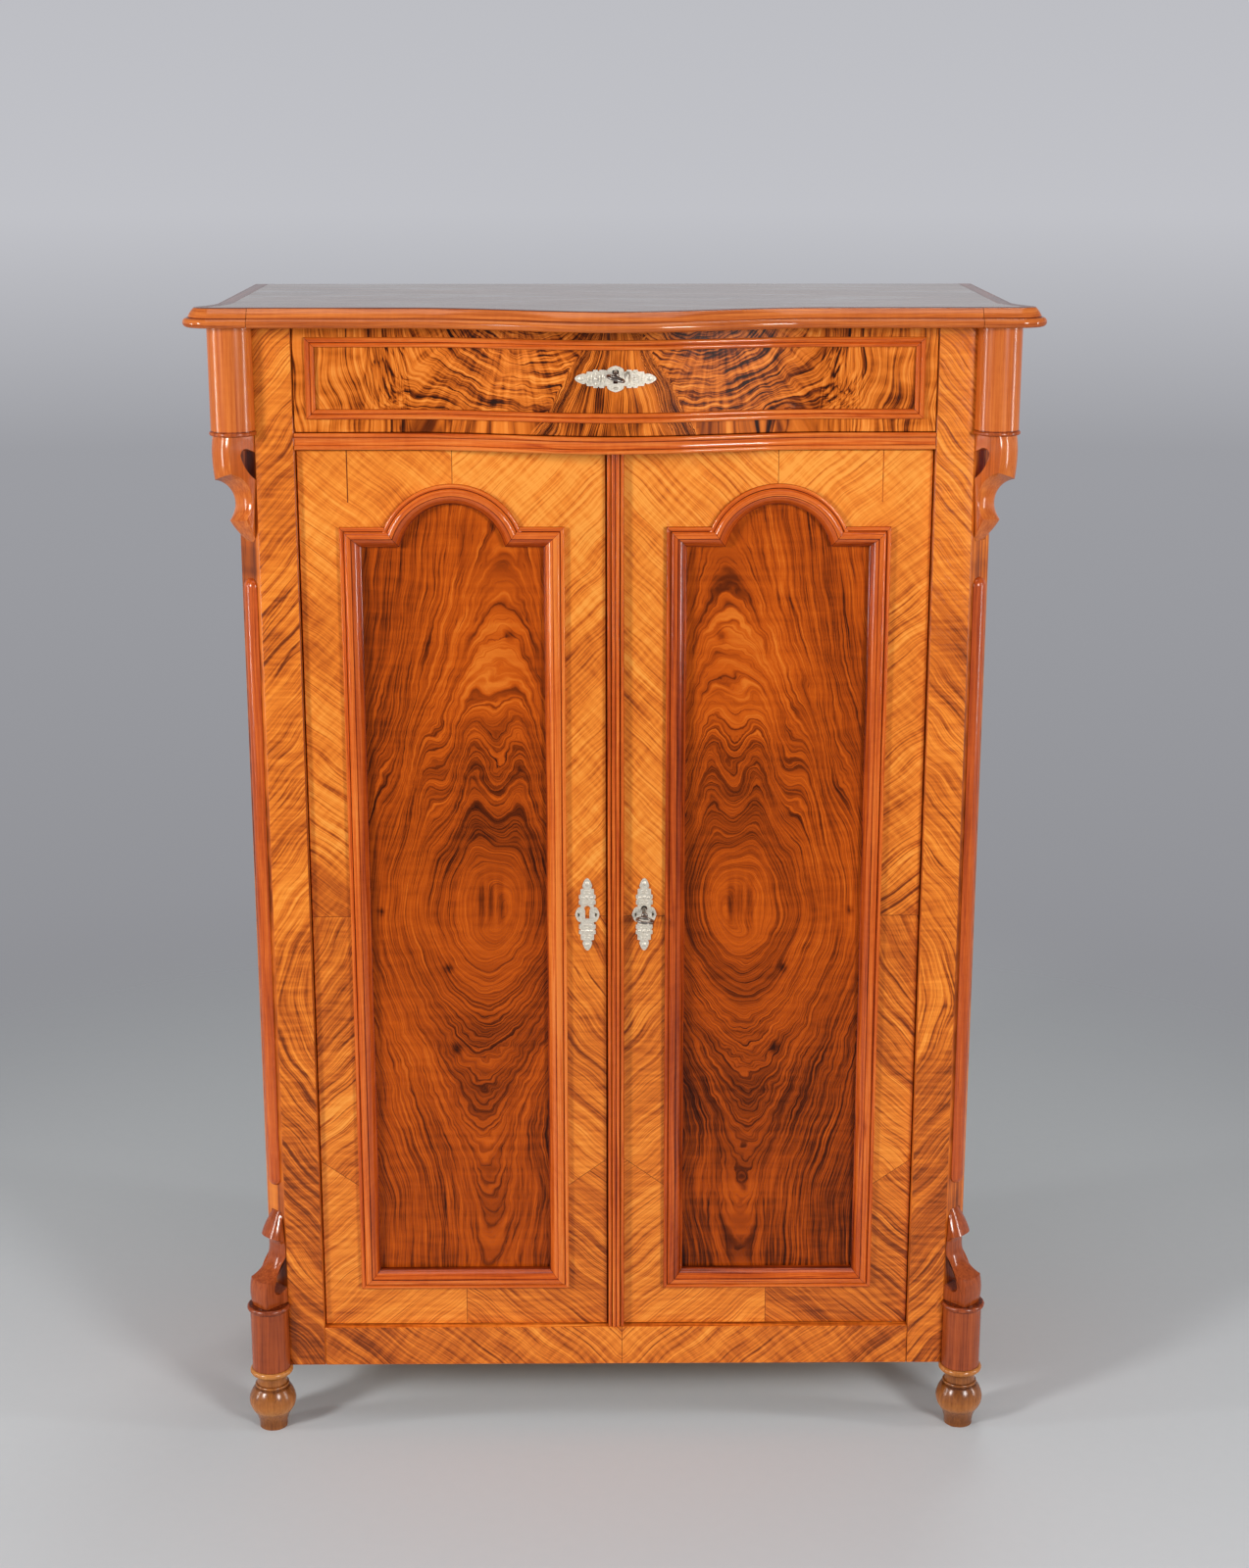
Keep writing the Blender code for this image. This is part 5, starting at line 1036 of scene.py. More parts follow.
def door_moulding_profile():
    """Section of the door moulding, and the tone of each of its points, dark in the quirks, down the hollow
    and at its edges as painted shade.
    """
    outer = -MOULDING_SEAT
    inner = MOULDING_WIDTH - MOULDING_SEAT
    bead_radius = 0.10 * MOULDING_WIDTH
    bead = arc((outer + bead_radius, 0.45 * MOULDING_HEIGHT), bead_radius, 180, 0, 12)
    ridge = (outer + 0.40 * MOULDING_WIDTH, MOULDING_HEIGHT)
    rise = arc_through(
        (outer + 2 * bead_radius + QUIRK, 0.45 * MOULDING_HEIGHT),
        (outer + 0.29 * MOULDING_WIDTH, 0.86 * MOULDING_HEIGHT),
        ridge,
        10,
    )
    fillet_x = outer + 0.54 * MOULDING_WIDTH
    fillet = [(fillet_x, 0.97 * MOULDING_HEIGHT), (fillet_x + QUIRK, 0.97 * MOULDING_HEIGHT - 2 * QUIRK)]
    dip = arc_through(fillet[1], (0.48 * inner, 0.55 * MOULDING_HEIGHT), (0.88 * inner, 0.0), 10)
    foot = [(inner, -0.15 * PANEL_RECESS), (inner, SEAT_GAP - PANEL_RECESS)]
    rebate = [(SEAT_GAP, SEAT_GAP - PANEL_RECESS), (SEAT_GAP, SEAT_GAP), (outer, SEAT_GAP)]
    # Dark tones in the quirks, deepening down the hollow, and where the moulding meets frame and panel:
    # painted shade.
    tones = [-0.25] + [0.06] * 11 + [-0.6, -0.6] + [0.04] * 10 + [0.06, -0.6]
    tones += [-0.05 - 0.02 * i for i in range(10)] + [-0.5, -0.5, 0.0, 0.0, -0.3]
    return bead + rise + fillet + dip[1:] + foot + rebate, tones


def strip_outline():
    """Section of the closing strip with four reeds, and the tone of each of its points, dark at the sides and
    in the quirks between the reeds as painted shade.
    """
    half = STRIP_EDGE_X
    reed = 0.0023
    section = [(half, SEAT_GAP), (half, 0.40 * STRIP_THICKNESS)]
    tones = [-0.2, -0.2]
    for k in range(4):
        centre = (3 - 2 * k) * (reed + QUIRK / 2)
        base = STRIP_THICKNESS - reed - (0.0020 if k in (0, 3) else 0.0)
        section += arc((centre, base), reed, 0, 180, 10)
        tones += [-0.55] + [0.14] * 9 + [-0.55]
    section += [(-half, 0.40 * STRIP_THICKNESS), (-half, SEAT_GAP)]
    return [(x, DOOR_FRONT_Y - height) for x, height in section], tones + [-0.2, -0.2]


def drawer_rail_profile():
    """Section of the rail under the drawer, two beads and a hollow, and its tones, dark in the quirks and at
    the top and bottom edges as painted shade.
    """
    top_bead = arc((0.0, RAIL_HEIGHT - RAIL_BEAD_RADIUS), RAIL_BEAD_RADIUS, 90, 270, 12)
    low_bead = arc((0.0, RAIL_BEAD_RADIUS), RAIL_BEAD_RADIUS, 90, 270, 12)
    hollow_top = RAIL_HEIGHT - 2 * RAIL_BEAD_RADIUS
    hollow_low = 2 * RAIL_BEAD_RADIUS
    hollow = arc_through(
        (-RAIL_BEAD_RADIUS / 2, hollow_top),
        (0.0, (hollow_top + 2 * hollow_low) / 3),
        (-RAIL_BEAD_RADIUS / 2, hollow_low),
        10,
    )
    tones = [0.0, -0.2] + [0.26] * 11 + [-0.30, -0.30] + [0.24] * 9
    tones += [-0.30, -0.30] + [0.30] * 11 + [-0.3, 0.0]
    return [(RAIL_DEPTH, RAIL_HEIGHT)] + top_bead + hollow + low_bead + [(RAIL_DEPTH, 0.0)], tones


def ear_path():
    """Plan of the top's right end: round ear at the front, hollow behind it, straight side."""
    reach = EAR_RADIUS + EAR_HOLLOW_RADIUS
    turn = math.degrees(math.acos(1 - TOP_EAR / reach))
    middle = (TOP_SIDE_X + TOP_EAR - EAR_RADIUS, TOP_FRONT_Y + EAR_RADIUS)
    hollow_x = middle[0] + reach * math.cos(math.radians(turn))
    hollow_y = middle[1] + reach * math.sin(math.radians(turn))
    corner = arc(middle, EAR_RADIUS, -90, turn, 40)
    hollow = arc((hollow_x, hollow_y), EAR_HOLLOW_RADIUS, 180 + turn, 180, 16)
    seam = [(POST_OUTER_X + SEAT_GAP, TOP_FRONT_Y)]
    return seam + corner + hollow[1:] + [(TOP_SIDE_X, TOP_BACK_Y)]


def edging_profile():
    """Section of the top's edging, bead, hollow and rim, and its tones, dark under the bead and in the quirk
    above it as painted shade.
    """
    bead = arc((EDGING_BEAD_RADIUS, EDGING_BEAD_RADIUS), EDGING_BEAD_RADIUS, 270, 90, 18)
    quirk_z = 2 * EDGING_BEAD_RADIUS
    rim = EDGING_BEAD_RADIUS + EDGING_SLOPE
    hollow = arc_through(
        (EDGING_BEAD_RADIUS + QUIRK, quirk_z + QUIRK / 2),
        (EDGING_BEAD_RADIUS + 0.45 * EDGING_SLOPE, (quirk_z + TOP_THICKNESS) / 2),
        (rim, TOP_THICKNESS - ARRIS),
        10,
    )
    top = [(rim + 0.3 * ARRIS, TOP_THICKNESS - 0.3 * ARRIS), (rim + ARRIS, TOP_THICKNESS)]
    tones = [-0.3] + [0.14] * 16 + [0.0, -0.40, -0.40] + [0.18] * 9 + [0.1, 0.0, -0.45, -0.45, 0.0]
    return bead + hollow + top + [(EDGING_WIDTH, TOP_THICKNESS), (EDGING_WIDTH, 0.0)], tones


def build_edging():
    """The moulded edge of the top, in three pieces."""
    right = ear_path()
    profile, tones = edging_profile()
    front = front_line(POST_OUTER_X - SEAT_GAP, TOP_FRONT_Y, TOP_SWELL)
    place = Matrix.Translation((0, 0, TOP_BOTTOM_Z))
    for word, path, start in (("left", mirrored(right), 0.0), ("front", front, 2.0), ("right", right, 4.0)):
        mesh = sweep_mesh("top_" + word + "_moulded_edge", path, profile, place, start=start, tones=tones)
        add_piece(mesh, "carcase", EDGING_WOOD, ["top_" + word + "_edging"])


def bend_over_drawer(mesh):
    """Pushes a flat piece out over the drawer's swell, on fine slices."""
    shape = bmesh.new()
    shape.from_mesh(mesh)
    for i in range(1, FINE_STATIONS):
        x = DRAWER_HALF_WIDTH * (2 * i / FINE_STATIONS - 1)
        slice_at(shape, (x, 0, 0), (1, 0, 0))
    for vertex in shape.verts:
        vertex.co.y -= DRAWER_SWELL * swell(vertex.co.x)
    store(shape, mesh, 32)


MEETING_MOULDING_X = 0.085  # the mouldings' runs beside the closing strip lie within this


def left_run(middle):
    """Tone of the left door's moulding: brighter at the meeting side, partly its own tone and partly painted
    light from the left.
    """
    return 0.36 if middle.x > -MEETING_MOULDING_X else 0.15


def right_run(middle):
    """Tone of the right door's moulding: dark red at the meeting side, partly its own tone and partly painted
    shade.
    """
    return -0.10 if middle.x < MEETING_MOULDING_X else 0.12


def build_mouldings():
    """Mouldings of the doors, closing strip, drawer rail and the drawer's beaded frame."""
    place = Matrix.Translation((0, DOOR_FRONT_Y, 0)) @ UPRIGHT
    profile, tones = door_moulding_profile()
    for word, side, run in (("left", -1, left_run), ("right", 1, right_run)):
        path = opening_path(side)
        mesh = sweep_mesh(word + "_panel_moulding", path, profile, place, True, 3.0 * side, tones, run)
        add_piece(mesh, word + "_door", MOULDING_WOOD, [word + "_door_moulding"])
    outline, tones = strip_outline()
    levels = (DOOR_BOTTOM_Z, DOOR_TOP_Z)
    rows = [[Vector((x, y, z)) for x, y in outline] for z in levels]
    mesh = grid_mesh("reeded_closing_strip", rows, levels, tones=tones)
    add_piece(mesh, "right_door", MOULDING_WOOD, ["closing_strip"])
    path = front_line(RAIL_HALF_WIDTH, DRAWER_FRONT_Y, DRAWER_SWELL)
    place = Matrix.Translation((0, 0, RAIL_BOTTOM_Z))
    profile, tones = drawer_rail_profile()
    mesh = sweep_mesh("moulded_drawer_rail", path, profile, place, start=7.0, tones=tones)
    add_piece(mesh, "carcase", MOULDING_WOOD, ["drawer_rail"])
    half = DRAWER_HALF_WIDTH - DRAWER_MOULDING_END_MARGIN
    low = DRAWER_BOTTOM_Z + DRAWER_MOULDING_BOTTOM_MARGIN
    high = DRAWER_TOP_Z - DRAWER_MOULDING_TOP_MARGIN
    quarter = DRAWER_MOULDING_WIDTH / 4
    outer = arc((quarter, DRAWER_MOULDING_LIFT), quarter, 180, 0, 10)
    inner = arc((3 * quarter, DRAWER_MOULDING_LIFT), 0.9 * quarter, 180, 0, 10)
    profile = [(0.0, 0.0)] + outer + inner + [(DRAWER_MOULDING_WIDTH, 0.0)]
    # Dark at the frame's edges and between its two beads: painted crease shade.
    tones = [-0.5, -0.2] + [0.26] * 9 + [-0.35, -0.35] + [0.22] * 9 + [-0.2, -0.5]
    place = Matrix.Translation((0, DRAWER_FRONT_Y - SEAT_GAP, 0)) @ UPRIGHT
    corners = [(-half, low), (half, low), (half, high), (-half, high)]
    mesh = sweep_mesh("drawer_beaded_frame", corners, profile, place, True, 11.0, tones)
    bend_over_drawer(mesh)
    add_piece(mesh, "drawer", MOULDING_WOOD, ["drawer_moulding"])


# Corner columns, brackets, strips and feet


def corner_frame(side):
    """Place on the bevelled corner at floor level, with X pointing out of it."""
    turn = Matrix.Rotation(math.radians(-90 + 45 * side), 4, "Z")
    return Matrix.Translation((side * CHAMFER_X, CHAMFER_Y, 0)) @ turn


# Tones of a ring: dark at both ends and on the narrow band beside it, which is painted shade in the creases
# where ring and column meet. The ring itself is darker.
RING_TONES = [-0.6, -0.5] + [-0.20] * 9 + [-0.5, -0.6]
RING_SHADE = 0.0015  # height of the dark line beside a ring


def ring_profile(radius, top, height):
    """A half-round ring on a column."""
    low = top - height
    return arc_through((radius, top), (RING_RADIUS, (top + low) / 2), (radius, low), 12)


def bracket_outline(heights, reach, waist_reach, lip_reach):
    """Side view of a bracket, and how many of its points lie on the front."""
    block, notch, waist, lip, tip = heights
    belly = (reach + BRACKET_BULGE, block / 2)
    shoulder = (reach - BRACKET_BULGE, block)
    scoop = (waist_reach + 0.27 * (reach - waist_reach), waist - 0.68 * (waist - block))
    narrow = (waist_reach, waist)
    throat_middle = (1.3 * waist_reach, 0.45 * waist + 0.55 * lip)
    cusp = (lip_reach, lip)
    nose = (0.62 * lip_reach, 0.55 * lip + 0.45 * tip)
    eye = (BRACKET_NOTCH_REACH, BRACKET_NOTCH_TOP + BRACKET_NOTCH_RADIUS)
    notch_side = (eye[0] + BRACKET_NOTCH_RADIUS, eye[1])
    face = arc_through((reach - BRACKET_BULGE / 2, SEAT_GAP), belly, shoulder, 12)
    hollow = arc_through(shoulder, scoop, narrow, 22)
    throat = arc_through(narrow, throat_middle, cusp, 10)
    end = arc_through(cusp, nose, (SEAT_GAP, tip), 12)
    drop_middle = (0.65 * notch_side[0], 0.55 * notch + 0.45 * eye[1])
    drop = arc_through((SEAT_GAP, notch), drop_middle, notch_side, 14)
    crown = arc(eye, BRACKET_NOTCH_RADIUS, 0, -120, 14)
    back = [(SEAT_GAP, BRACKET_NOTCH_TOP + 0.7 * BRACKET_NOTCH_RADIUS), (SEAT_GAP, SEAT_GAP)]
    front = face + hollow[1:] + throat[1:] + end[1:]
    return front + drop + crown[1:] + back, len(front)


def bracket_mesh(name, side, heights, ring_z, way):
    """A scroll bracket with a crowned face, in slices across its width."""
    reaches = UPPER_BRACKET_REACHES if way < 0 else LOWER_BRACKET_REACHES
    outline, front_count = bracket_outline(heights, *reaches)
    block, _, _, lip, tip = heights
    place = corner_frame(side) @ Matrix.Translation((0, 0, ring_z)) @ UPRIGHT
    rows = []
    for i in range(BRACKET_SLICES + 1):
        share = math.sin((2 * i / BRACKET_SLICES - 1) * math.pi / 2)
        row = []
        for k, (reach, height) in enumerate(outline):
            width = share * BRACKET_WIDTH / 2
            if k < front_count and reach > 2 * SEAT_GAP:
                reach = max(SEAT_GAP, reach - BRACKET_CROWN * abs(share) ** 3)
            if height > lip:
                width *= 1 - BRACKET_TIP_TAPER * ((height - lip) / (tip - lip)) ** 2
            if way < 0:
                if height < block:
                    hang = max(0.0, 2 * height / block - 1)
                else:
                    hang = (tip - height) / (tip - block)
                height += BRACKET_LEAN * max(0.0, hang) * (0.5 - side * width / BRACKET_WIDTH)
            row.append(place @ Vector((reach, way * height, width)))
        rows.append(row)
    along = [i / BRACKET_SLICES for i in range(BRACKET_SLICES + 2)]
    return grid_mesh(name, rows, along, sharp=38, tones=[0.18 if way < 0 else 0.0] * len(outline))


def front_foot_profile():
    """Section of a front foot, and the tone of each of its points: ring, cove, two fillets, bulb and cup."""
    top = CARCASE_BOTTOM - SEAT_GAP
    disc, neck, bulb, sole = FOOT_DISC_RADIUS, FOOT_NECK_RADIUS, FOOT_BULB_RADIUS, FOOT_SOLE_RADIUS

    def at(radius, share):
        return radius, share * top

    ring = arc_through(at(0.90 * disc, 1.0), at(1.03 * disc, 0.950), at(0.92 * disc, 0.905), 12)
    cove = arc_through(at(0.83 * disc, 0.897), at(neck, 0.80), at(1.03 * neck, 0.745), 10)
    fillet = arc_through(at(1.08 * neck, 0.738), at(1.15 * neck, 0.715), at(1.10 * neck, 0.692), 6)
    upper = arc_through(at(1.20 * neck, 0.672), at(0.93 * bulb, 0.565), at(bulb, 0.47), 14)
    lower = arc_through(at(bulb, 0.47), at(0.965 * bulb, 0.375), at(0.87 * bulb, 0.30), 10)
    cup = arc_through(lower[-1], at(1.15 * sole, 0.19), at(sole, 0.0), 10)
    # Dark tones where the ring, cove, fillet and bulb meet are painted crease shade. The bulb lightens
    # downwards, and the cup darkens towards the floor.
    tones = [0.0, -0.4] + [0.16] * 11 + [-0.3, -0.3] + [-0.12] * 9 + [-0.3]
    tones += [-0.5] + [-0.15] * 5 + [-0.5]
    tones += [-0.45] + [-0.28 + 0.016 * i for i in range(14)] + [0.02 * i for i in range(9)] + [0.12]
    tones += [-0.10 - 0.03 * i for i in range(8)] + [-0.25, -0.25, -0.25]
    return [(0.0, top)] + ring + cove + fillet + upper + lower[1:] + cup[1:] + [(0.0, 0.0)], tones


def add_half_round(mesh, corner, finish, node):
    """Cuts a turned piece along the bevelled corner and shows it."""
    keep_outside(mesh, corner, SEAT_GAP)
    add_piece(mesh, "carcase", finish, [node])


def build_corners():
    """Columns, feet, brackets and half-round strips on the two bevelled corners."""
    for word, side in SIDES:
        corner = corner_frame(side)
        axis = corner @ Matrix.Translation((COLUMN_AXIS, 0, 0))
        profile = [(0.0, CARCASE_TOP_Z), (UPPER_COLUMN_RADIUS, CARCASE_TOP_Z)]
        profile += [(UPPER_COLUMN_RADIUS, UPPER_RING_Z + UPPER_RING_HEIGHT + RING_SHADE)]
        profile += ring_profile(UPPER_COLUMN_RADIUS, UPPER_RING_Z + UPPER_RING_HEIGHT, UPPER_RING_HEIGHT)
        profile += [(0.0, UPPER_RING_Z)]
        tones = [0.0, 0.14, 0.14] + RING_TONES + [-0.3]
        mesh = turned_mesh(word + "_upper_turned_column", profile, axis, 96, tones=tones)
        add_half_round(mesh, corner, COLUMN_WOOD, word + "_upper_column")
        profile = [(0.0, LOWER_RING_Z)] + ring_profile(LOWER_COLUMN_RADIUS, LOWER_RING_Z, LOWER_RING_HEIGHT)
        profile += [(LOWER_COLUMN_RADIUS, LOWER_RING_Z - LOWER_RING_HEIGHT - RING_SHADE)]
        profile += [(LOWER_COLUMN_RADIUS, CARCASE_BOTTOM), (0.0, CARCASE_BOTTOM)]
        # The lower column is a little darker still: more painted shade near the floor.
        tones = [0.0] + RING_TONES + [-0.10, -0.10, -0.10]
        mesh = turned_mesh(word + "_lower_turned_column", profile, axis, 96, tones=tones)
        add_half_round(mesh, corner, LOW_COLUMN_SHADED_WOOD, word + "_lower_column")
        profile, tones = front_foot_profile()
        mesh = turned_mesh(word + "_turned_foot", profile, axis, 96, 30, tones)
        add_piece(mesh, "carcase", FOOT_WOOD, [word + "_front_foot"])
        for level, heights, ring_z, way, finish in (
            ("upper", UPPER_BRACKET_HEIGHTS, UPPER_RING_Z, -1, BRACKET_WOOD),
            ("lower", LOWER_BRACKET_HEIGHTS, LOWER_RING_Z, 1, LOW_BRACKET_SHADED_WOOD),
        ):
            mesh = bracket_mesh(word + "_" + level + "_scroll_bracket", side, heights, ring_z, way)
            add_piece(mesh, "carcase", finish, [word + "_" + level + "_bracket"])
        high = UPPER_RING_Z - UPPER_BRACKET_HEIGHTS[-1] - STRIP_UPPER_SPACE
        low = LOWER_RING_Z + LOWER_BRACKET_HEIGHTS[-1] + STRIP_LOWER_SPACE
        radius = STRIP_ROUND_WIDTH / 2
        profile = arc((0.0, high - radius), radius, 90, 0, 16) + arc((0.0, low + radius), radius, 0, -90, 16)
        flatten = corner @ Matrix.Diagonal((STRIP_ROUND_DEPTH / radius, 1.0, 1.0, 1.0))
        mesh = turned_mesh(word + "_half_round_strip", profile, flatten, 64)
        add_half_round(mesh, corner, STRIP_WOOD, word + "_round_strip")


# Keyhole plates and keys


def plate_outline():
    """Outline of an upright keyhole plate, from a quarter of it."""
    length = PLATE_LENGTH / 2
    half = PLATE_WIDTH / 2
    lobe = arc_through((1.0, 0.0), (0.88, 0.12), (0.52, 0.20), 10)
    block = [(0.55, 0.27), (0.68, 0.28), (0.68, 0.39), (0.59, 0.40), (0.59, 0.43), (0.68, 0.44), (0.68, 0.54)]
    step = [(0.54, 0.55), (0.54, 0.70), (0.36, 0.715), (0.29, 0.735), (0.38, 0.755)]
    tip = arc_through((0.39, 0.80), (0.27, 0.91), (0.0, 1.0), 8)
    quarter = [(x * half, y * length) for x, y in lobe + block + step + tip]
    upper = quarter + mirrored(quarter)[1:]
    return upper + [(-x, -y) for x, y in upper[1:-1]]


def keyhole_outline(grow=0.0):
    """A round eye with a slot below it."""
    radius = KEYHOLE_RADIUS + grow
    half = KEYHOLE_SLOT / 2 + grow
    spread = math.degrees(math.asin(half / radius))
    eye = arc((0.0, PLATE_EYE_RISE), radius, spread - 90, 270 - spread, 24)
    foot = PLATE_EYE_RISE - KEYHOLE_DROP - grow
    return eye + [(-half, foot), (half, foot)]


def plate_face(shape, outlines, place, low, high):
    """Adds a flat piece with holes, between two heights above its own plane."""
    for height in (low, high):
        edges = []
        for outline in outlines:
            verts = [shape.verts.new(place @ Vector((x, y, height))) for x, y in outline]
            edges += [shape.edges.new((verts[i - 1], verts[i])) for i in range(len(verts))]
        bmesh.ops.triangle_fill(shape, edges=edges, use_beauty=True)
    for outline in outlines:
        count = len(outline)
        low_ring = [place @ Vector((x, y, low)) for x, y in outline]
        high_ring = [place @ Vector((x, y, high)) for x, y in outline]
        for i in range(count):
            k = (i + 1) % count
            corners = (low_ring[i], low_ring[k], high_ring[k], high_ring[i])
            shape.faces.new([shape.verts.new(c) for c in corners])
    bmesh.ops.remove_doubles(shape, verts=shape.verts, dist=MERGE_DISTANCE)


def oval(centre, half_width, half_height, steps=18):
    """An oval in shares of the plate's half width and half length."""
    made = []
    for i in range(steps):
        angle = 2 * math.pi * i / steps
        x = centre[0] + half_width * math.cos(angle)
        y = centre[1] + half_height * math.sin(angle)
        made.append((x * PLATE_WIDTH / 2, y * PLATE_LENGTH / 2))
    return made


def ornament_outlines():
    """Raised leaves, bars and bosses on one half of a keyhole plate."""
    made = [oval((turn * 0.36, 0.46), 0.13, 0.040) for turn in (-1, 1)]
    made += [oval((turn * 0.70, 0.0), 0.10, 0.075) for turn in (-1, 1)]
    for centre, width, height in (
        (0.300, 0.40, 0.028),
        (0.375, 0.30, 0.020),
        (0.580, 0.34, 0.022),
        (0.655, 0.24, 0.026),
        (0.845, 0.18, 0.065),
        (0.47, 0.14, 0.055),
    ):
        made.append(oval((0.0, centre), width, height))
    return made


def plate_mesh(name, centre, lying):
    """A stamped keyhole plate: sunk ground, raised border and keyhole rim, and raised ornament."""
    place = Matrix.Translation(centre) @ UPRIGHT

    def turn(points):
        return [(y, -x) for x, y in points] if lying else points

    shape = bmesh.new()
    hole = keyhole_outline()
    half = PLATE_THICKNESS / 2
    ground = 0.1 * half
    outline = plate_outline()
    plate_face(shape, [turn(outline), hole], place, -half, ground)
    border = [(0.84 * x, 0.955 * y) for x, y in outline]
    plate_face(shape, [turn(outline), turn(border)], place, ground, 0.8 * half)
    plate_face(shape, [keyhole_outline(KEYHOLE_RIM), hole], place, ground, half)
    for raised in ornament_outlines():
        for points in (raised, [(-x, -y) for x, y in raised]):
            middle_x = sum(x for x, y in points) / len(points)
            middle_y = sum(y for x, y in points) / len(points)
            crest = [(0.55 * x + 0.45 * middle_x, 0.55 * y + 0.45 * middle_y) for x, y in points]
            low = [shape.verts.new(place @ Vector((x, y, ground))) for x, y in turn(points)]
            high = [shape.verts.new(place @ Vector((x, y, half))) for x, y in turn(crest)]
            join_rings(shape, low, high)
            shape.faces.new(high)
    bmesh.ops.recalc_face_normals(shape, faces=shape.faces)
    return finish_mesh(shape, name, 40)


def key_mesh(name, eye, roll):
    """A key: turned stem with a collar, oval bow and flat bit."""
    sag = Matrix.Rotation(math.pi / 2 + KEY_SAG, 4, "X")
    place = Matrix.Translation(eye) @ sag @ Matrix.Rotation(roll, 4, "Z")
    collar = arc_through(
        (KEY_RADIUS, 0.82 * KEY_STEM), (1.7 * KEY_RADIUS, 0.75 * KEY_STEM), (KEY_RADIUS, 0.68 * KEY_STEM), 12
    )
    profile = [(0.0, KEY_STEM), (KEY_RADIUS, KEY_STEM)] + collar
    profile += [(KEY_RADIUS, -KEY_INNER_LENGTH), (0.0, -KEY_INNER_LENGTH)]
    mesh = turned_mesh(name, profile, place, 40)
    shape = bmesh.new()
    shape.from_mesh(mesh)
    bpy.data.meshes.remove(mesh)
    bow_z = KEY_STEM + KEY_BOW_LENGTH / 2 - KEY_BOW_RADIUS
    major = KEY_BOW_WIDTH / 2 - KEY_BOW_RADIUS
    minor = KEY_BOW_LENGTH / 2 - KEY_BOW_RADIUS
    rings = []
    for i in range(BOW_STEPS):
        angle = 2 * math.pi * i / BOW_STEPS
        middle = Vector((major * math.cos(angle), 0.0, bow_z + minor * math.sin(angle)))
        out = Vector((math.cos(angle), 0.0, math.sin(angle)))
        ring = []
        for j in range(BOW_SIDES):
            turn = 2 * math.pi * j / BOW_SIDES
            offset = out * (KEY_BOW_RADIUS * math.cos(turn)) + Vector((0, KEY_BOW_RADIUS * math.sin(turn), 0))
            ring.append(shape.verts.new(place @ (middle + offset)))
        rings.append(ring)
    for i in range(BOW_STEPS):
        join_rings(shape, rings[i], rings[(i + 1) % BOW_STEPS])
    low = KEY_BIT_END - KEY_INNER_LENGTH
    high = low + KEY_BIT_HEIGHT
    bit = [(0.0, low), (KEY_BIT_REACH, low), (KEY_BIT_REACH, high), (0.0, high)]
    flat_outline(shape, bit, place @ UPRIGHT, KEY_BIT_THICKNESS)
    bmesh.ops.recalc_face_normals(shape, faces=shape.faces)
    return finish_mesh(shape, name, 40)


def build_fittings():
    """Keyhole plates of the doors and the drawer, and the two keys."""
    plate_y = DOOR_FRONT_Y - SEAT_GAP - PLATE_THICKNESS / 2
    for word, side in SIDES:
        centre = (side * DOOR_PLATE_X, plate_y, DOOR_PLATE_Z)
        mesh = plate_mesh(word + "_stamped_keyhole_plate", centre, False)
        add_piece(mesh, word + "_door", NICKEL, [word + "_door_keyhole_plate"])
    plate_y = DRAWER_FRONT_Y - SEAT_GAP - PLATE_THICKNESS / 2
    mesh = plate_mesh("drawer_stamped_keyhole_plate", (0, plate_y, DRAWER_PLATE_Z), True)
    bend_over_drawer(mesh)
    add_piece(mesh, "drawer", NICKEL, ["drawer_keyhole_plate"])
    eye = (DOOR_PLATE_X, DOOR_FRONT_Y - SEAT_GAP - PLATE_THICKNESS, DOOR_PLATE_Z + PLATE_EYE_RISE)
    mesh = key_mesh("door_bow_key", eye, DOOR_KEY_ROLL)
    add_piece(mesh, "door_key", STEEL, ["door_key"])
    crown_y = DRAWER_FRONT_Y - DRAWER_SWELL
    eye = (0, crown_y - SEAT_GAP - PLATE_THICKNESS, DRAWER_PLATE_Z + PLATE_EYE_RISE)
    mesh = key_mesh("drawer_bow_key", eye, DRAWER_KEY_ROLL)
    add_piece(mesh, "drawer_key", STEEL, ["drawer_key"])


def dress_plain_nodes():
    """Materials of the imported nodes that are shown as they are."""
    finishes = {"top_panel": TOP_WOOD, "back_panel": PINE_UPRIGHT}
    for word, _ in SIDES:
        finishes[word + "_side_panel"] = SIDE_WOOD
        finishes[word + "_rear_foot"] = PINE_UPRIGHT
        finishes[word + "_drawer_guide"] = PINE_DEEP
        finishes["drawer_" + word + "_side"] = PINE_DEEP
    for name in ("bottom_board", "dust_board", "upper_shelf", "lower_shelf", "drawer_back", "drawer_bottom"):
        finishes[name] = PINE_ACROSS
    for name, obj in NODES.items():
        if obj.hide_render:
            continue
        obj.data.materials.clear()
        obj.data.materials.append(finishes.get(name, STEEL))


# Stage


FLOOR_RADIUS = 2.5
FLOOR_FADE = (1.0, 2.4)  # the floor thins out between these distances and lets the backdrop show


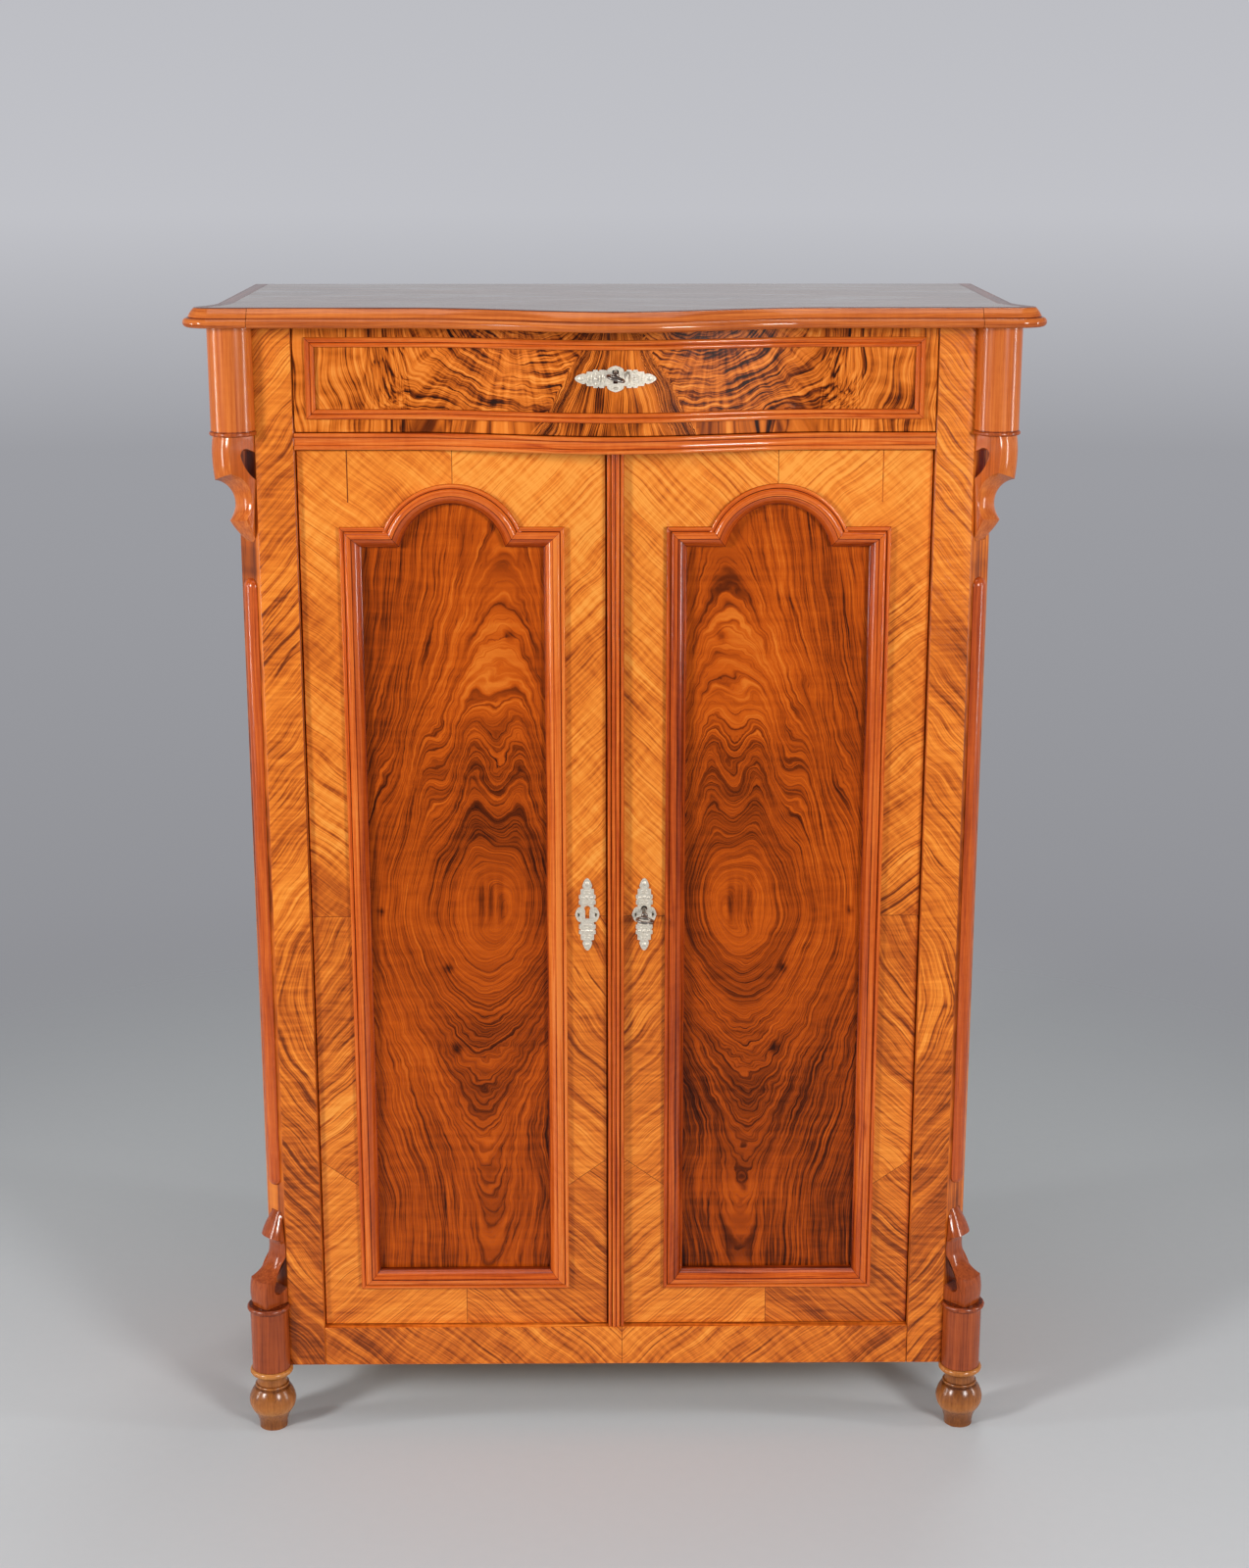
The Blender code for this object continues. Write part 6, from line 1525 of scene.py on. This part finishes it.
def build_stage():
    """A pale floor round the cabinet that fades into the backdrop."""
    shape = bmesh.new()
    bmesh.ops.create_circle(shape, cap_ends=True, segments=96, radius=FLOOR_RADIUS)
    mesh = finish_mesh(shape, "studio_floor", 60)
    shader = Shader("pale_studio_floor", roughness=0.85)
    x, y, _ = shader.place()
    speck = shader.noise(shader.scaled((x, y), (60, 60)), 2.0)
    level = shader.weighted(0.5, (speck, 0.4))
    colour = shader.ramp(level, ((0.0, (0.54, 0.58, 0.62)), (1.0, (0.58, 0.62, 0.66))))
    away = shader.math("SQRT", shader.total(shader.times(x, x), shader.times(y, y)))
    shader.put(shader.surface.inputs["Base Color"], colour)
    shader.put(shader.surface.inputs["Alpha"], shader.range(away, *FLOOR_FADE, 1.0, 0.0, "SMOOTHSTEP"))
    floor = bpy.data.objects.new("studio_floor", mesh)
    mesh.materials.append(shader.material)
    bpy.context.scene.collection.objects.link(floor)


LAMP_COLOUR = (1.0, 0.97, 0.93)


def add_lamp(name, place, target, size, watts):
    """An area lamp that shines at a target and isn't seen itself."""
    lamp = bpy.data.lights.new(name, "AREA")
    lamp.shape = "RECTANGLE"
    lamp.size, lamp.size_y = size
    lamp.energy = watts
    lamp.color = LAMP_COLOUR
    obj = bpy.data.objects.new(name, lamp)
    obj.location = place
    obj.rotation_mode = "QUATERNION"
    obj.rotation_quaternion = (Vector(target) - Vector(place)).to_track_quat("-Z", "Y")
    obj.visible_camera = False
    bpy.context.scene.collection.objects.link(obj)


WORLD_STRENGTH = 0.11
BACKDROP_HEIGHTS = (-0.4, 0.3)  # slopes of the view where the backdrop's colours start and end
# The backdrop is brightest just below the horizon and darkens downwards and upwards: painted falloff of the
# studio light on a backdrop.
BACKDROP_STOPS = (
    (0.0, (0.245, 0.248, 0.265)),
    (0.143, (0.290, 0.293, 0.315)),
    (0.387, (0.335, 0.339, 0.365)),
    (0.514, (0.535, 0.540, 0.575)),
    (0.786, (0.480, 0.485, 0.515)),
    (1.0, (0.200, 0.202, 0.210)),
)


def build_world():
    """Low plain light, and a pale backdrop all round that the camera and reflections see."""
    world = bpy.data.worlds.new("studio_light")
    world.use_nodes = True
    wiring = Wiring(world.node_tree)
    light = wiring.tree.nodes["Background"]
    light.inputs[0].default_value = (1.0, 1.0, 1.02, 1.0)
    light.inputs[1].default_value = WORLD_STRENGTH
    parts = wiring.add("ShaderNodeSeparateXYZ")
    wiring.put(parts.inputs[0], wiring.add("ShaderNodeTexCoord").outputs["Generated"])
    seen = wiring.add("ShaderNodeBackground")
    wiring.put(seen.inputs[0], wiring.ramp(wiring.range(parts.outputs[2], *BACKDROP_HEIGHTS), BACKDROP_STOPS))
    path = wiring.add("ShaderNodeLightPath").outputs
    rays = [path["Is " + kind + " Ray"] for kind in ("Camera", "Glossy", "Transmission")]
    mix = wiring.add("ShaderNodeMixShader")
    wiring.put(mix.inputs[0], wiring.math("MINIMUM", wiring.total(*rays), 1.0))
    wiring.put(mix.inputs[1], light.outputs[0])
    wiring.put(mix.inputs[2], seen.outputs[0])
    wiring.put(wiring.tree.nodes["World Output"].inputs[0], mix.outputs[0])
    bpy.context.scene.world = world


def build_light():
    """Soft lamps in front, above, at the sides and behind, and plain view settings."""
    add_lamp("left_softbox", (-2.9, -2.5, 2.0), (0, 0, 0.85), (0.6, 1.0), 87)
    add_lamp("right_softbox", (2.1, -3.1, 1.9), (0, 0, 0.85), (0.8, 1.0), 76)
    add_lamp("top_softbox", (0.0, -0.4, 3.4), (0, 0.3, 0.6), (2.0, 1.4), 16)
    for word, side in SIDES:
        add_lamp(word + "_strip_light", (side * 3.3, -0.7, 1.2), (side * 0.45, -0.1, 1.0), (0.18, 1.8), 26)
    add_lamp("back_softbox", (0.7, 2.3, 3.9), (0, 0.3, 0.4), (1.2, 0.8), 26)
    bpy.context.scene.view_settings.view_transform = "Standard"


CAMERA_PLACE = (-0.0160, -3.1231, 1.6990)
CAMERA_TURN = -0.00903
CAMERA_TILT = math.radians(90 - 15.262)
CAMERA_LENS = 57.10


def build_camera():
    """The photograph's camera: before the middle, a little above the top, looking down."""
    data = bpy.data.cameras.new("photo_camera")
    data.sensor_width = 36.0
    data.lens = CAMERA_LENS
    camera = bpy.data.objects.new("photo_camera", data)
    turn = Matrix.Rotation(CAMERA_TURN, 4, "Z") @ Matrix.Rotation(CAMERA_TILT, 4, "X")
    camera.matrix_world = Matrix.Translation(CAMERA_PLACE) @ turn
    bpy.context.scene.collection.objects.link(camera)
    bpy.context.scene.camera = camera


build_veneers()
build_mouldings()
build_edging()
build_corners()
build_fittings()
dress_plain_nodes()
build_stage()
build_light()
build_world()
build_camera()
